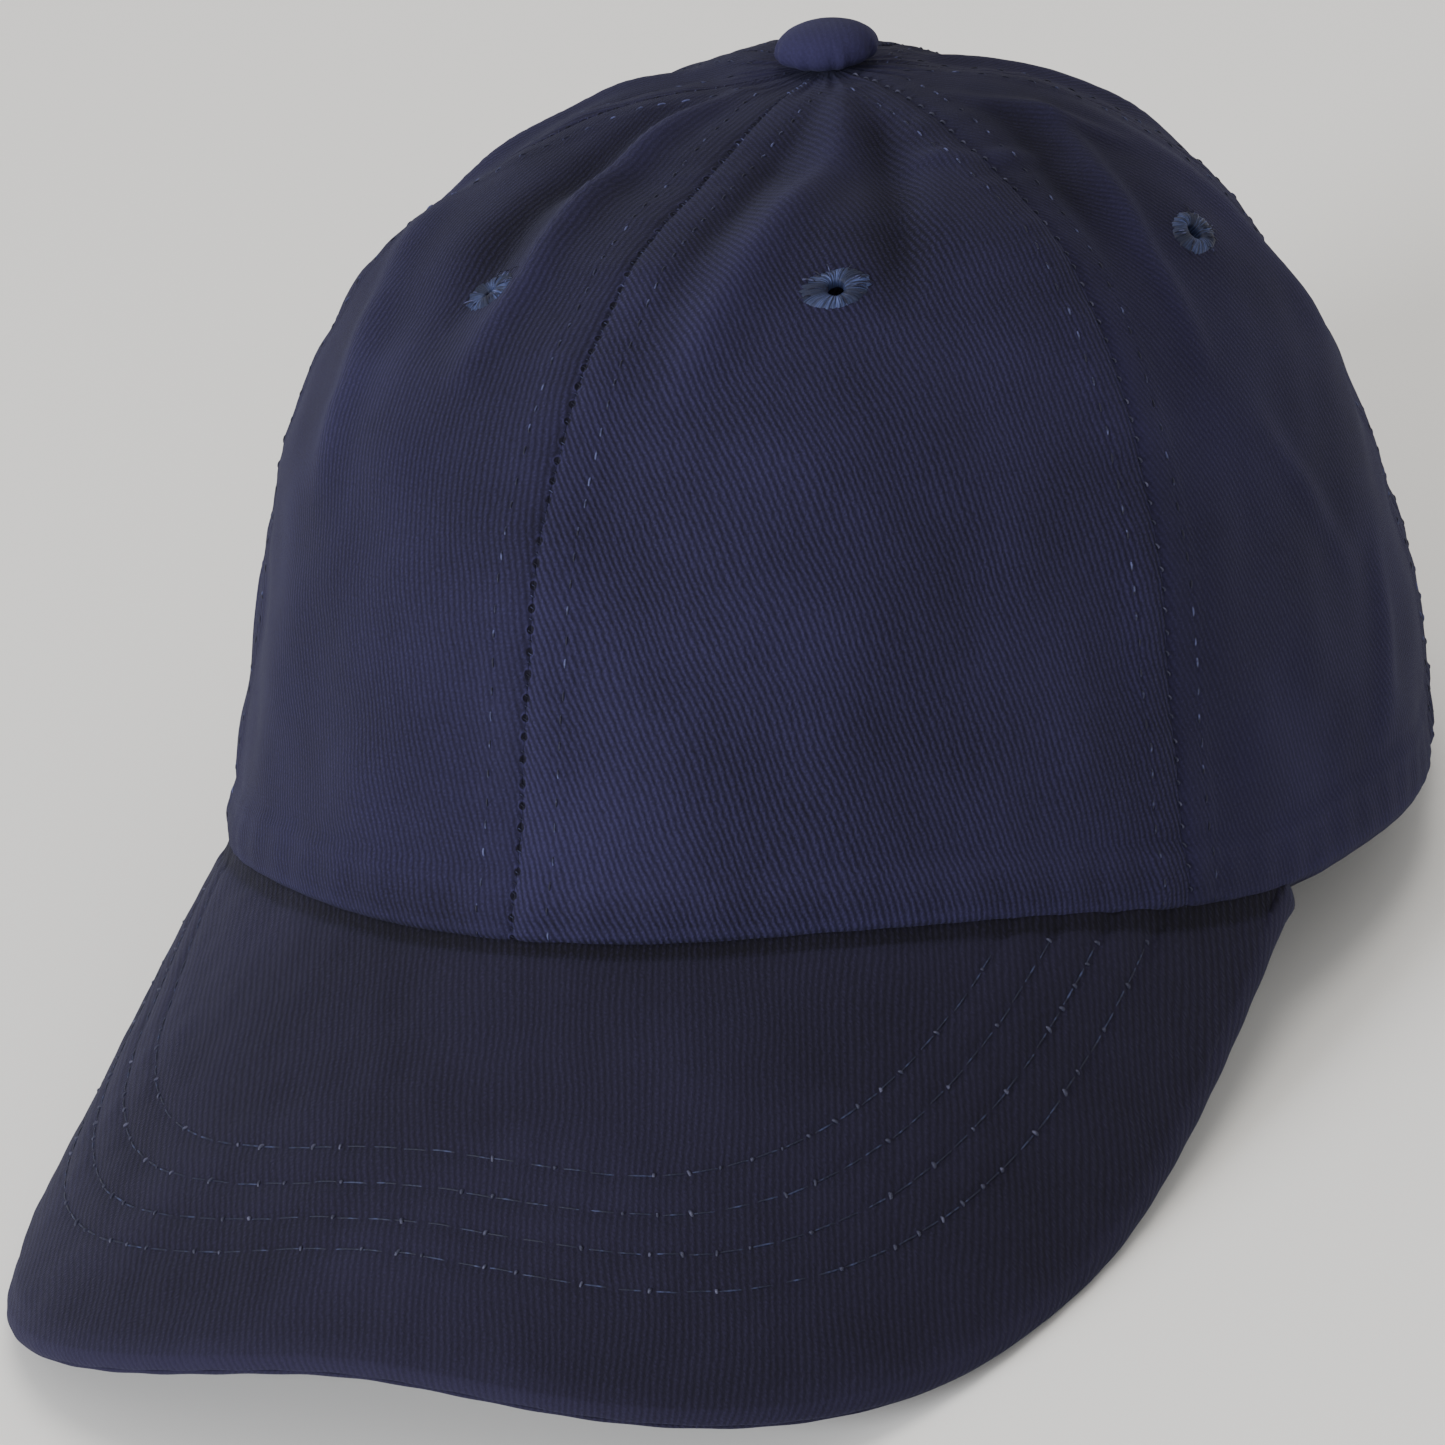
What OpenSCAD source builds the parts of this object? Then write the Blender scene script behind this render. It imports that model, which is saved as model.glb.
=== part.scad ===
// Baseball cap: six sewn crown panels, a curved visor, a sweatband, a covered button
// and a cloth strap with a clamp buckle. Millimetres, +Z up, the visor points to -Y.
// Everything is drawn in the cap's own frame, whose zero is the middle of the head
// opening at the height of the front seam, and place() then stands it on a table.

/* [Head opening] */
// From the middle to the front of the rim
front_reach = 111.8; // [105:0.1:118]
// From the middle to the back of the rim
back_reach = 99.8; // [94:0.1:106]
// Half the width across the ears
half_width = 84; // [78:0.5:90]
// Roundness of the rim's oval: 2 is an ellipse
rim_power = 1.9; // [1.8:0.05:2.3]
// How far the back of the rim lies below the front seam
back_drop = 31; // [26:0.1:36]
// Extra droop of the rim half way along the sides
side_droop = 1.5; // [0:0.1:4]

/* [Crown] */
// Height of the top above the front seam
crown_height = 79.6; // [72:0.1:88]
// How far the top sits behind the middle
top_back = 18.9; // [10:0.1:24]
// Squareness of the crown's profile at the front
front_power = 3.2; // [2.6:0.05:3.4]
// Squareness of the profile at the back
back_power = 1.85; // [1.7:0.05:2.4]
// How much the side walls pull in at mid height
wall_pull = 0.16; // [0:0.01:0.2]
// Angle from the front seam to the next seam
front_seam_angle = 53.6; // [50:0.1:62]
// Angle from the front seam to the seam behind the ears
rear_seam_angle = 116; // [110:0.5:124]
// Thickness of the twill, with its turned seams
twill = 0.8; // [0.6:0.05:1]
// Radius of the arched opening at the back
arch_radius = 46; // [42:0.5:50]
// Height of the eyelets along the panels, as a share of the way up
eyelet_share = 0.58; // [0.5:0.005:0.65]
// Angle from the front to the eyelet in the left front panel
eyelet_front_left_angle = 23; // [17:0.5:36]
// Angle from the front to the eyelet in the right front panel
eyelet_front_right_angle = 18; // [17:0.5:36]
// Angle from the front to the eyelets in the side panels
eyelet_side_angle = 80.5; // [76:0.5:94]
// How much lower the eyelets of the side panels sit
eyelet_side_lower = 0.04; // [0:0.005:0.06]

/* [Visor] */
// How far the visor reaches in front of the crown, seen from above
visor_reach = 60.5; // [54:0.5:66]
// Slope of the visor's middle line
visor_slope = 0.512; // [0.45:0.001:0.6]
// Angle from the front seam to where the visor ends
visor_angle = 67.7; // [64:0.1:72]
// Squareness of the visor's outline
visor_power = 3.2; // [2.6:0.05:3.4]
// Thickness of the stiff board
board = 1.6; // [1.2:0.1:2.2]

/* [Closure] */
// Height of the strap
strap_height = 20; // [16:0.5:22]
// Thickness of the folded strap
strap_thick = 1.3; // [1:0.1:1.5]
// Outer radius of the strap's arc
strap_radius = 72; // [71.6:0.1:72.4]
// Width of the buckle along the strap
buckle_width = 17; // [14:0.5:19]

/* [Hidden] */

navy = [0.10, 0.11, 0.19];
tape_navy = [0.13, 0.14, 0.23];
thread_blue = [0.18, 0.22, 0.36];
white_cloth = [0.86, 0.86, 0.84];
brass = [0.62, 0.50, 0.28];
steel = [0.72, 0.73, 0.75];
plastic = [0.90, 0.90, 0.88];

// Bend of the visor: the square, cube and fourth power of the distance from its middle line
visor_bend = 0.00752;
visor_bend_cubed = -0.0000693;
visor_bend_fourth = 0.00000092;
// The bend eases by this much for each millimetre in front of the crown
visor_ease = 0.0000225;
// Lean of the whole cap when the visor's corners and the back of the rim touch a table
table_lean = 4.32;
// The crown's edge stays this far above the visor
edge_gap = 0.4;
// The panels stop this share of the way up, where the button's rivet goes through
top_share = 0.985;
// Depths below the outside of the crown
tape_depth = [twill + 0.45, twill + 0.9];
band_front_depth = 3.2;
band_back_depth = 6.8;
band_thick = 0.9;
band_height = 31;
step = 0.002;

// ---- The crown's surface -------------------------------------------------------

function smooth(s) = let (c = max(0, min(1, s))) c * c * (3 - 2 * c);

// Distance from the middle to the rim, at angle t from the front
function rim_radius(t) =
    pow(pow(abs(sin(t)) / half_width, rim_power)
        + pow(abs(cos(t)) / (cos(t) > 0 ? front_reach : back_reach), rim_power), -1 / rim_power);

// Height of the visor's upper face above a point in plan
function visor_height(x, y) =
    let (ahead = -y - front_reach)
    -visor_slope * ahead - (visor_bend - visor_ease * ahead) * x * x
        - visor_bend_cubed * pow(abs(x), 3) - visor_bend_fourth * pow(x, 4);

function rim_point_height(t) = visor_height(rim_radius(t) * sin(t), -rim_radius(t) * cos(t));

function rim_height(t) =
    let (turn = abs(t), ear = rim_point_height(visor_angle),
         share = (turn - visor_angle) / (180 - visor_angle))
    edge_gap + (turn < visor_angle ? rim_point_height(turn)
        : ear + (-back_drop - ear) * smooth(share) - side_droop * sin(180 * share));

function profile_power(t) = (front_power + back_power) / 2 + cos(t) * (front_power - back_power) / 2;

// A point on the outside of the crown: t is the angle from the front, towards the
// wearer's left, and s runs from 0 at the rim to 1 at the top.
function crown_point(t, s) =
    let (power = profile_power(t), a = 90 * s,
         scale = pow(pow(cos(a), power) + pow(max(sin(a), 0), power), -1 / power),
         out = cos(a) * scale, up = sin(a) * scale,
         reach = rim_radius(t) * out * (1 - wall_pull * up * (1 - up)),
         low = rim_height(t))
    [reach * sin(t), top_back * up - reach * cos(t), low + (crown_height - low) * up];

function unit(v) = v / norm(v);

function crown_normal(t, s) =
    let (s0 = max(s - step, 0), s1 = min(s + step, 0.999))
    unit(cross(crown_point(t + 0.1, s) - crown_point(t - 0.1, s),
               crown_point(t, s1) - crown_point(t, s0)));

function under_crown(t, s, depth) = crown_point(t, s) - depth * crown_normal(t, s);

// ---- Sheets --------------------------------------------------------------------

// A closed sheet from two equal grids of points: upper and lower, row by row
module sheet(upper, lower) {
    rows = len(upper);
    columns = len(upper[0]);
    count = rows * columns;
    points = [for (grid = [upper, lower]) for (row = grid) for (p = row) p];
    function at(r, c) = r * columns + c;
    top = [for (r = [0:rows - 2]) for (c = [0:columns - 2])
        for (f = [[at(r, c), at(r + 1, c), at(r + 1, c + 1)],
                  [at(r, c), at(r + 1, c + 1), at(r, c + 1)]]) f];
    bottom = [for (f = top) [f[0] + count, f[2] + count, f[1] + count]];
    rim = concat([for (c = [0:columns - 2]) [at(0, c), at(0, c + 1)]],
        [for (r = [0:rows - 2]) [at(r, columns - 1), at(r + 1, columns - 1)]],
        [for (c = [columns - 1:-1:1]) [at(rows - 1, c), at(rows - 1, c - 1)]],
        [for (r = [rows - 1:-1:1]) [at(r, 0), at(r - 1, 0)]]);
    sides = [for (e = rim) for (f = [[e[0], e[1], e[1] + count],
                                     [e[0], e[1] + count, e[0] + count]]) f];
    polyhedron(points, concat(top, bottom, sides));
}

// A sheet that follows the crown between two depths: one row for each share of the way
// up, and in each row one point for each of that row's angles
module crown_sheet(angle_rows, shares, depths) {
    grids = [for (depth = depths)
        [for (i = [0:len(shares) - 1]) [for (t = angle_rows[i]) under_crown(t, shares[i], depth)]]];
    sheet(grids[0], grids[1]);
}

function spread(from, to, parts) = [for (i = [0:parts]) from + (to - from) * i / parts];

// ---- Visor's surface ---------------------------------------------------------------------

ear = [rim_radius(visor_angle) * sin(visor_angle), -rim_radius(visor_angle) * cos(visor_angle)];
visor_depth = front_reach + visor_reach + ear[1];

// The outline in plan, for a from -90 at the wearer's right to 90 at the left
function outline(a) =
    [sign(a) * ear[0] * pow(abs(sin(a)), 2 / visor_power),
     ear[1] - visor_depth * pow(abs(cos(a)), 2 / visor_power)];

// The visor's inner edge in plan, under the crown's wall
inner_edge_depth = 2.2;
function inner_edge(a) =
    let (t = visor_angle * a / 90, r = rim_radius(t) - inner_edge_depth) [r * sin(t), -r * cos(t)];

function visor_normal(x, y) =
    unit([visor_height(x - step, y) - visor_height(x + step, y),
          visor_height(x, y - step) - visor_height(x, y + step), 2 * step]);

cover = 0.7;
layer_gap = 0.05;
board_top = -cover - layer_gap;
board_bottom = board_top - board;
board_trim = 1.5;
// The board stops this much earlier where the visor narrows towards its ends
board_end_trim = 3;
visor_thick = board + 2 * cover + 2 * layer_gap;

// Half the columns of the visor's grid, closer together near the ears, where the outline turns
half_columns = 26;
crowding = 1.35;
visor_angles = [for (i = [-half_columns:half_columns])
    90 * sign(i) * (1 - pow(1 - abs(i) / half_columns, crowding))];
visor_rows = 9;

// The point of the visor that lies a height above its upper face, near a point in plan:
// right over it where hold is 1, and along the surface's normal where hold is 0
function visor_point(p, above, hold) =
    let (n = visor_normal(p[0], p[1]), q = p - hold * above * [n[0], n[1]])
    [q[0], q[1], visor_height(q[0], q[1])] + above * visor_normal(q[0], q[1]);

// Where the visor is this deep, its layers' outer edges start to line up along the normal
stacked_room = 3;
stacked_blend = 15;

// How far the board's edge lies inside the outline where the visor is this deep
function board_inset(room) =
    min(0.7 * room, board_trim + board_end_trim * (1 - smooth((room - 8) / 14)));

// A grid of points at a height above the visor's upper face, out to the outline or, for the
// board, to its own edge
function visor_grid(above, is_board = false) =
    [for (w = spread(0, 1, visor_rows)) [for (a = visor_angles)
        let (inner = inner_edge(a), outer = outline(a), room = norm(outer - inner),
             inset = is_board ? board_inset(room) : 0)
        visor_point(inner + (outer - inner) * w * (1 - inset / room), above,
                    1 - w * smooth((room - stacked_room) / stacked_blend))]];

// ---- Standing on a table -------------------------------------------------------

function lean(p) = [p[0], p[1] * cos(table_lean) + p[2] * sin(table_lean),
                    p[2] * cos(table_lean) - p[1] * sin(table_lean)];

// Height of the middle of the arch's circle
arch_base = 6 - back_drop;
under_face = [for (row = visor_grid(-visor_thick)) for (p = row) lean(p)];
function cut_by_arch(p) = abs(p[0]) < arch_radius
    && (p[2] < arch_base || norm([p[0], p[2] - arch_base]) < arch_radius);
// Angles between which the arch's foot lies, and the share of the way up that is above its top
arch_side = 140;
arch_foot = 156;
above_arch = 0.6;
back_rim = [for (t = spread(arch_side, arch_foot, 80))
    let (p = crown_point(t, 0)) if (!cut_by_arch(p)) lean(p)];
back_wall = [for (t = spread(arch_side, 180, 20)) for (s = spread(0, above_arch, 60))
    let (p = crown_point(t, s)) if (!cut_by_arch(p)) lean(p)];
table_height = min([for (p = concat(under_face, back_rim)) p[2]]);
middle = (min([for (row = visor_grid(0)) for (p = row) lean(p)[1]])
    + max([for (p = back_wall) p[1]])) / 2;

module place() translate([0, -middle, -table_height]) rotate([-table_lean, 0, 0]) children();

// ---- Crown ---------------------------------------------------------------------

panel_rows = spread(0, top_share, 16);
panel_columns = 11;
drill = 8;

// How much higher the panel's inner edge is than its outer edge, so that both clear the visor
function edge_bevel(t) =
    let (turn = min(abs(t), visor_angle), r = rim_radius(turn) - 1.2 * twill,
         rise = visor_height(r * sin(turn), -r * cos(turn)) - rim_point_height(turn))
    rise * (1 - smooth((abs(t) - visor_angle) / 8));

// A panel's angles, with a column at each end of the visor
function panel_angles(from, to) =
    from < visor_angle && to > visor_angle
        ? concat(spread(from, visor_angle, 3),
                 [for (i = [1:8]) visor_angle + (to - visor_angle) * i / 8])
    : from < -visor_angle && to > -visor_angle
        ? [for (t = reversed(panel_angles(-to, -from))) -t]
    : spread(from, to, panel_columns);

// One panel between two seam angles, with its hole for an eyelet at an angle and a height
module panel(from, to, hole_angle, hole_share) {
    angles = panel_angles(from, to);
    color(navy) difference() {
        sheet([for (s = panel_rows) [for (t = angles) crown_point(t, s)]],
              [for (s = panel_rows) [for (t = angles)
                  let (start = share_above(t, edge_bevel(t)))
                  under_crown(t, start + (1 - start / top_share) * s, twill)]]);
        on_crown(hole_angle, hole_share) cylinder(r = eyelet_neck, h = drill, center = true, $fn = 32);
        if (abs(to) == 180 || abs(from) == 180) arch(arch_radius);
    }
}

// Moves its children to the crown's surface, with their Z along its outward normal
module on_crown(t, s) {
    n = crown_normal(t, s);
    translate(crown_point(t, s))
        rotate([0, acos(n[2]), atan2(n[1], n[0])]) children();
}

// The arched opening at the back, as a solid that cuts it
arch_cut = 90;
arch_below = 40;
module arch(radius) translate([0, back_reach + arch_cut / 3, arch_base]) rotate([90, 0, 0])
    linear_extrude(height = arch_cut) union() {
        circle(r = radius, $fn = 96);
        translate([-radius, -arch_below]) square([2 * radius, arch_below]);
    }

// A tape that covers a seam on the inside, as wide as the space around the button lets it be
half_tape = 8;
widest_tape_angle = 26;
tape_start = 0.02;
back_tape_start = 0.375;
module seam_tape(t, from) {
    rows = spread(from, top_share, 14);
    half_angles = [for (s = rows) let (p = crown_point(t, s) - crown_point(0, 1))
        min(widest_tape_angle, half_tape / norm([p[0], p[1]]) * 180 / PI)];
    color(tape_navy)
        crown_sheet([for (h = half_angles) spread(t - h, t + h, 4)], rows, tape_depth);
}

// The tape that binds the arch's edge, inside the back panels
binding_width = 7;
module arch_binding() {
    rows = spread(0, above_arch, 16);
    across = spread(arch_side, 360 - arch_side, 16);
    color(tape_navy) intersection() {
        crown_sheet([for (s = rows) across], rows, tape_depth);
        difference() {
            arch(arch_radius + binding_width);
            arch(arch_radius);
        }
    }
}

// The sweatband stands further in at the back, where the strap runs behind it
band_turn_from = 92;
band_turn_to = 122;
function band_depth(t) =
    band_front_depth + (band_back_depth - band_front_depth)
        * smooth((abs(t) - band_turn_from) / (band_turn_to - band_turn_from));

// How far up the crown, as a share, a height above the rim is
function share_above(t, height) = atan2(height, crown_height - rim_height(t)) / 90;

// A strip inside the crown, between two heights above the rim and two depths
module inner_strip(angles, heights, depths) {
    grids = [for (depth = depths) [for (h = heights) [for (t = angles)
        under_crown(t, share_above(t, h), band_depth(t) + depth)]]];
    sheet(grids[0], grids[1]);
}

band_end = 148.5;
band_lift = 0.5;
module sweatband() color(tape_navy)
    inner_strip(spread(-band_end, band_end, 54), spread(band_lift, band_height, 4), [0, band_thick]);

// A blank woven label on the sweatband, on the wearer's left
label_angles = [118, 136];
label_heights = [9, 27];
label_depth = [band_thick + 0.15, band_thick + 0.45];
module care_label() color(white_cloth)
    inner_strip(spread(label_angles[0], label_angles[1], 6),
                spread(label_heights[0], label_heights[1], 4), label_depth);

// ---- Eyelets -------------------------------------------------------------------

eyelet_bore = 1.3;
eyelet_neck = 2.8;
eyelet_flange = 5.2;

side_share = eyelet_share - eyelet_side_lower;
back_eyelet_angle = (rear_seam_angle + 180) / 2;

// A sewn ring: a flat flange of thread outside and a neck through the panel
module eyelet(t, s) color(thread_blue) on_crown(t, s)
    rotate_extrude($fn = 48) polygon([
        [eyelet_bore, -twill - 0.1], [eyelet_neck - 0.1, -twill - 0.1], [eyelet_neck - 0.1, 0.3],
        [eyelet_flange, 0.3], [eyelet_flange - 0.4, 0.7],
        [eyelet_bore + 0.3, 0.9], [eyelet_bore, 0.6]]);

// ---- Visor's layers -----------------------------------------------------------

module visor_layer(high, low, is_board = false)
    sheet(visor_grid(low, is_board), visor_grid(high, is_board));

module visor_top_cover() color(navy) visor_layer(0, -cover);
module visor_board() color(plastic) visor_layer(board_top, board_bottom, true);
module visor_under_cover() color(navy)
    visor_layer(board_bottom - layer_gap, -visor_thick);

// ---- Button --------------------------------------------------------------------

button_radius = 7.4;
button_rise = 4.3;
button_lift = 0.8;
lip = 0.6;
cover_thick = 0.8;
shell_thick = 0.45;
rivet_radius = 1.2;
fit_gap = 0.05;
dome_base = button_lift + lip;

// Half a flattened dome, from its edge to its top
function dome(shrink, base) =
    [for (a = spread(0, 90, 16))
        [(button_radius - shrink) * cos(a), base + (button_rise - shrink) * sin(a)]];

function reversed(list) = [for (i = [len(list) - 1:-1:0]) list[i]];

module at_top() translate(crown_point(0, 1)) children();

// Cloth stretched over the shell, its edge turned in underneath
module button_cover() color(navy) at_top() rotate_extrude($fn = 64)
    polygon(concat(dome(0, dome_base), reversed(dome(cover_thick, dome_base)),
        [[button_radius - 2.4, dome_base], [button_radius - 2.4, button_lift],
         [button_radius - lip, button_lift]]));

module button_shell() color(steel) at_top() rotate_extrude($fn = 64)
    polygon(concat(dome(cover_thick + fit_gap, dome_base + fit_gap),
        reversed(dome(cover_thick + fit_gap + shell_thick, dome_base + fit_gap))));

// A flat head inside the shell, a shank through the crown and a flattened end
rivet_low = -3.6;
module button_rivet() color(steel) at_top() {
    translate([0, 0, dome_base + fit_gap]) cylinder(r = button_radius - 2, h = 0.5, $fn = 48);
    translate([0, 0, rivet_low])
        cylinder(r = rivet_radius, h = dome_base + fit_gap - rivet_low, $fn = 32);
    translate([0, 0, rivet_low - 0.5]) cylinder(r = rivet_radius + 0.8, h = 0.5, $fn = 32);
}

module button_washer() color(steel) at_top() translate([0, 0, rivet_low + fit_gap]) difference() {
    cylinder(r = 5.5, h = 0.8, $fn = 48);
    translate([0, 0, -1]) cylinder(r = rivet_radius + fit_gap, h = 3, $fn = 32);
}

// ---- Closure -------------------------------------------------------------------

// The strap lies on an arc about strap_centre. Angles run from the back towards the
// wearer's left.
strap_centre = [0, 20.8];
strap_bottom = 4 - back_drop;
strap_inner = strap_radius - strap_thick;
strap_from = -54;
strap_to = 56;

// A curved bar about the strap's centre, from one angle to another
module arc_bar(inner, outer, bottom, top, from, to)
    translate([strap_centre[0], strap_centre[1], 0]) rotate([0, 0, 90 - to])
        rotate_extrude(angle = to - from, $fn = 180)
            translate([inner, bottom]) square([outer - inner, top - bottom]);

module strap() color(navy)
    arc_bar(strap_inner, strap_radius, strap_bottom, strap_bottom + strap_height, strap_from, strap_to);

mm_angle = 180 / PI / strap_radius;
buckle_middle = 24;
buckle_from = buckle_middle - buckle_width / 2 * mm_angle;
buckle_to = buckle_middle + buckle_width / 2 * mm_angle;
play = 0.25;
cheek = 1.2;
plate = 1;
frame_bottom = strap_bottom - play - cheek;
frame_top = strap_bottom + strap_height + play + cheek;
cheek_outer = strap_radius + 4;
pin_radius = 0.7;
pin_reach = strap_radius + 2.2;
pin_angle = buckle_from + 1.9 * mm_angle;
bar_angle = 1.8 * mm_angle;
bar_thick = 1.4;
bore_length = 40;

// Moves its children to a place beside the strap, with X pointing outwards
module beside_strap(reach, angle, height)
    translate([strap_centre[0], strap_centre[1], height]) rotate([0, 0, 90 - angle])
        translate([reach, 0, 0]) children();

module buckle_frame() color(brass) difference() {
    union() {
        arc_bar(strap_inner - play - plate, strap_inner - play, frame_bottom, frame_top,
                buckle_from, buckle_to);
        for (bottom = [frame_bottom, frame_top - cheek])
            arc_bar(strap_inner - play - plate / 2, cheek_outer, bottom, bottom + cheek,
                    buckle_from, buckle_to);
        arc_bar(cheek_outer - bar_thick, cheek_outer, frame_bottom + cheek / 2, frame_top - cheek / 2,
                buckle_to - bar_angle, buckle_to);
    }
    beside_strap(pin_reach, pin_angle, frame_bottom - 1)
        cylinder(r = pin_radius, h = bore_length, $fn = 32);
}

module buckle_pin() color(steel)
    beside_strap(pin_reach, pin_angle, frame_bottom)
        cylinder(r = pin_radius, h = frame_top - frame_bottom, $fn = 32);

lever_gap = 0.2;
lever_bottom = frame_bottom + cheek + lever_gap;
lever_height = frame_top - frame_bottom - 2 * cheek - 2 * lever_gap;
lever_to = buckle_to - bar_angle - 1.6 * mm_angle;
hub_radius = 1.6;
lever_clearance = 0.05;
tooth_radius = 0.75;
tooth_reach = pin_reach - 1.15;
tooth_angle = pin_angle + 0.4;
tooth_pitch = 2.9;

// The lever: a hub on the pin, a row of teeth over the strap and a plate to lift
module buckle_lever() color(brass) difference() {
    union() {
        beside_strap(pin_reach, pin_angle, lever_bottom)
            cylinder(r = hub_radius, h = lever_height, $fn = 40);
        arc_bar(pin_reach + hub_radius - 1.2, pin_reach + hub_radius - 0.2,
                lever_bottom, lever_bottom + lever_height, pin_angle, lever_to);
        for (i = [0:5])
            beside_strap(tooth_reach, tooth_angle, lever_bottom + hub_radius + i * tooth_pitch)
                cylinder(r = tooth_radius, h = 2 * tooth_radius, $fn = 16);
    }
    beside_strap(pin_reach, pin_angle, lever_bottom - 1)
        cylinder(r = pin_radius + lever_clearance, h = bore_length, $fn = 32);
}

// The short cloth tab that ties the frame's bar to the crown: it loops round the bar
tab_thick = 0.7;
tab_gap = 0.2;
tab_margin = 3;
tab_from = buckle_to - bar_angle - (tab_gap + tab_thick) * mm_angle;
tab_loop_to = buckle_to + (tab_gap + tab_thick) * mm_angle;
tab_end = 52;
tab_inner = strap_radius + 0.3;
tab_outer = cheek_outer + tab_gap + tab_thick;
module buckle_tab() color(navy) difference() {
    low = strap_bottom + tab_margin;
    high = strap_bottom + strap_height - tab_margin;
    wall = tab_thick * mm_angle;
    arc_bar(tab_inner, tab_outer, low, high, tab_from, tab_end);
    arc_bar(tab_inner + tab_thick, tab_outer - tab_thick, low - 1, high + 1,
            tab_from + wall, tab_loop_to - wall);
    arc_bar(tab_inner + tab_thick, tab_outer + 1, low - 1, high + 1, tab_loop_to, tab_end + 1);
}

// ---- Parts ---------------------------------------------------------------------

place() panel(0, front_seam_angle, eyelet_front_left_angle, eyelet_share);  // front_panel_left
place() panel(-front_seam_angle, 0, -eyelet_front_right_angle, eyelet_share);  // front_panel_right
place() panel(front_seam_angle, rear_seam_angle, eyelet_side_angle, side_share);  // side_panel_left
place() panel(-rear_seam_angle, -front_seam_angle, -eyelet_side_angle, side_share);  // side_panel_right
place() panel(rear_seam_angle, 180, back_eyelet_angle, eyelet_share);  // back_panel_left
place() panel(-180, -rear_seam_angle, -back_eyelet_angle, eyelet_share);  // back_panel_right
place() seam_tape(0, tape_start);  // seam_tape_front
place() seam_tape(front_seam_angle, tape_start);  // seam_tape_front_left
place() seam_tape(-front_seam_angle, tape_start);  // seam_tape_front_right
place() seam_tape(rear_seam_angle, tape_start);  // seam_tape_rear_left
place() seam_tape(-rear_seam_angle, tape_start);  // seam_tape_rear_right
place() seam_tape(180, back_tape_start);  // seam_tape_back
place() arch_binding();
place() sweatband();
place() care_label();
place() eyelet(eyelet_front_left_angle, eyelet_share);  // eyelet_front_left
place() eyelet(-eyelet_front_right_angle, eyelet_share);  // eyelet_front_right
place() eyelet(eyelet_side_angle, side_share);  // eyelet_side_left
place() eyelet(-eyelet_side_angle, side_share);  // eyelet_side_right
place() eyelet(back_eyelet_angle, eyelet_share);  // eyelet_back_left
place() eyelet(-back_eyelet_angle, eyelet_share);  // eyelet_back_right
place() visor_top_cover();
place() visor_board();
place() visor_under_cover();
place() button_cover();
place() button_shell();
place() button_rivet();
place() button_washer();
place() strap();
place() buckle_tab();
place() buckle_frame();
place() buckle_pin();
place() buckle_lever();
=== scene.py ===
import math

import bpy
import numpy as np
from mathutils import Matrix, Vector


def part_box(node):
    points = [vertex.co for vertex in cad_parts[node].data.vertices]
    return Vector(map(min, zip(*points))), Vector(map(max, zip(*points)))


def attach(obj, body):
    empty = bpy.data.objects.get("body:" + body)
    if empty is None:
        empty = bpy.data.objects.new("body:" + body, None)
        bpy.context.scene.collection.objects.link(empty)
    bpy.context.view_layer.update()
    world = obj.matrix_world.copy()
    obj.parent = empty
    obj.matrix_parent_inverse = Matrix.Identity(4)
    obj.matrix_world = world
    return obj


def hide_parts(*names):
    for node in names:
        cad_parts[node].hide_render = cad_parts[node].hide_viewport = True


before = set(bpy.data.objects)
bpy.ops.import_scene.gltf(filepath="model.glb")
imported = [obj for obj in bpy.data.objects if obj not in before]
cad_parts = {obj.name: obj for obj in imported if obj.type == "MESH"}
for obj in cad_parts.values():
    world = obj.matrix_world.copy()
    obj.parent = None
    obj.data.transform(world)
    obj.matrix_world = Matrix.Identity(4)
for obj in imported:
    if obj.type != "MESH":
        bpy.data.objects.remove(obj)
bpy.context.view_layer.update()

# ---- Sizes of the cap, in millimetres and degrees, as the CAD model has them
FRONT, BACK, HALF_WIDTH, RIM_POWER = 111.8, 99.8, 84.0, 1.9
BACK_DROP, SIDE_DROOP = 31.0, 1.5
CROWN_HEIGHT, TOP_BACK = 79.6, 18.9
FRONT_POWER, BACK_POWER, WALL_PULL = 3.2, 1.85, 0.16
SEAM_1, SEAM_2 = 53.6, 116.0
TWILL = 0.8
ARCH_RADIUS, ARCH_BASE = 46.0, -25.0
VISOR_REACH, VISOR_SLOPE, VISOR_ANGLE, VISOR_POWER = 60.5, 0.512, 67.7, 3.2
BEND, BEND_CUBED, BEND_FOURTH, EASE = 0.00752, -0.0000693, 0.00000092, 0.0000225
VISOR_THICK = 3.1
LEAN = math.radians(4.32)
EDGE_GAP = 0.4
STRAP_RADIUS, STRAP_THICK, STRAP_HEIGHT = 72.0, 1.3, 20.0
STRAP_CENTRE, STRAP_BOTTOM = 20.8, -27.0
STRAP_FROM, STRAP_TO = -54.0, 56.0
EYELETS = {
    "eyelet_front_left": (23.0, 0.58, 0.66), "eyelet_front_right": (-18.0, 0.58, 0.8),
    "eyelet_side_left": (80.5, 0.54, 0.68), "eyelet_side_right": (-80.5, 0.54, 0.8),
    "eyelet_back_left": (148.0, 0.58, 0.85), "eyelet_back_right": (-148.0, 0.58, 0.75),
}
DEG = math.pi / 180


# ---- The cap's surfaces
def unit(v):
    return v / np.linalg.norm(v, axis=-1, keepdims=True)


def run_along(path):
    """The length run at each point of a path, or of each column of a grid."""
    step = np.linalg.norm(np.diff(path, axis=0), axis=-1)
    return np.concatenate([np.zeros_like(step[:1]), np.cumsum(step, axis=0)])


def smooth(x):
    x = np.clip(x, 0, 1)
    return x * x * (3 - 2 * x)


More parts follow.
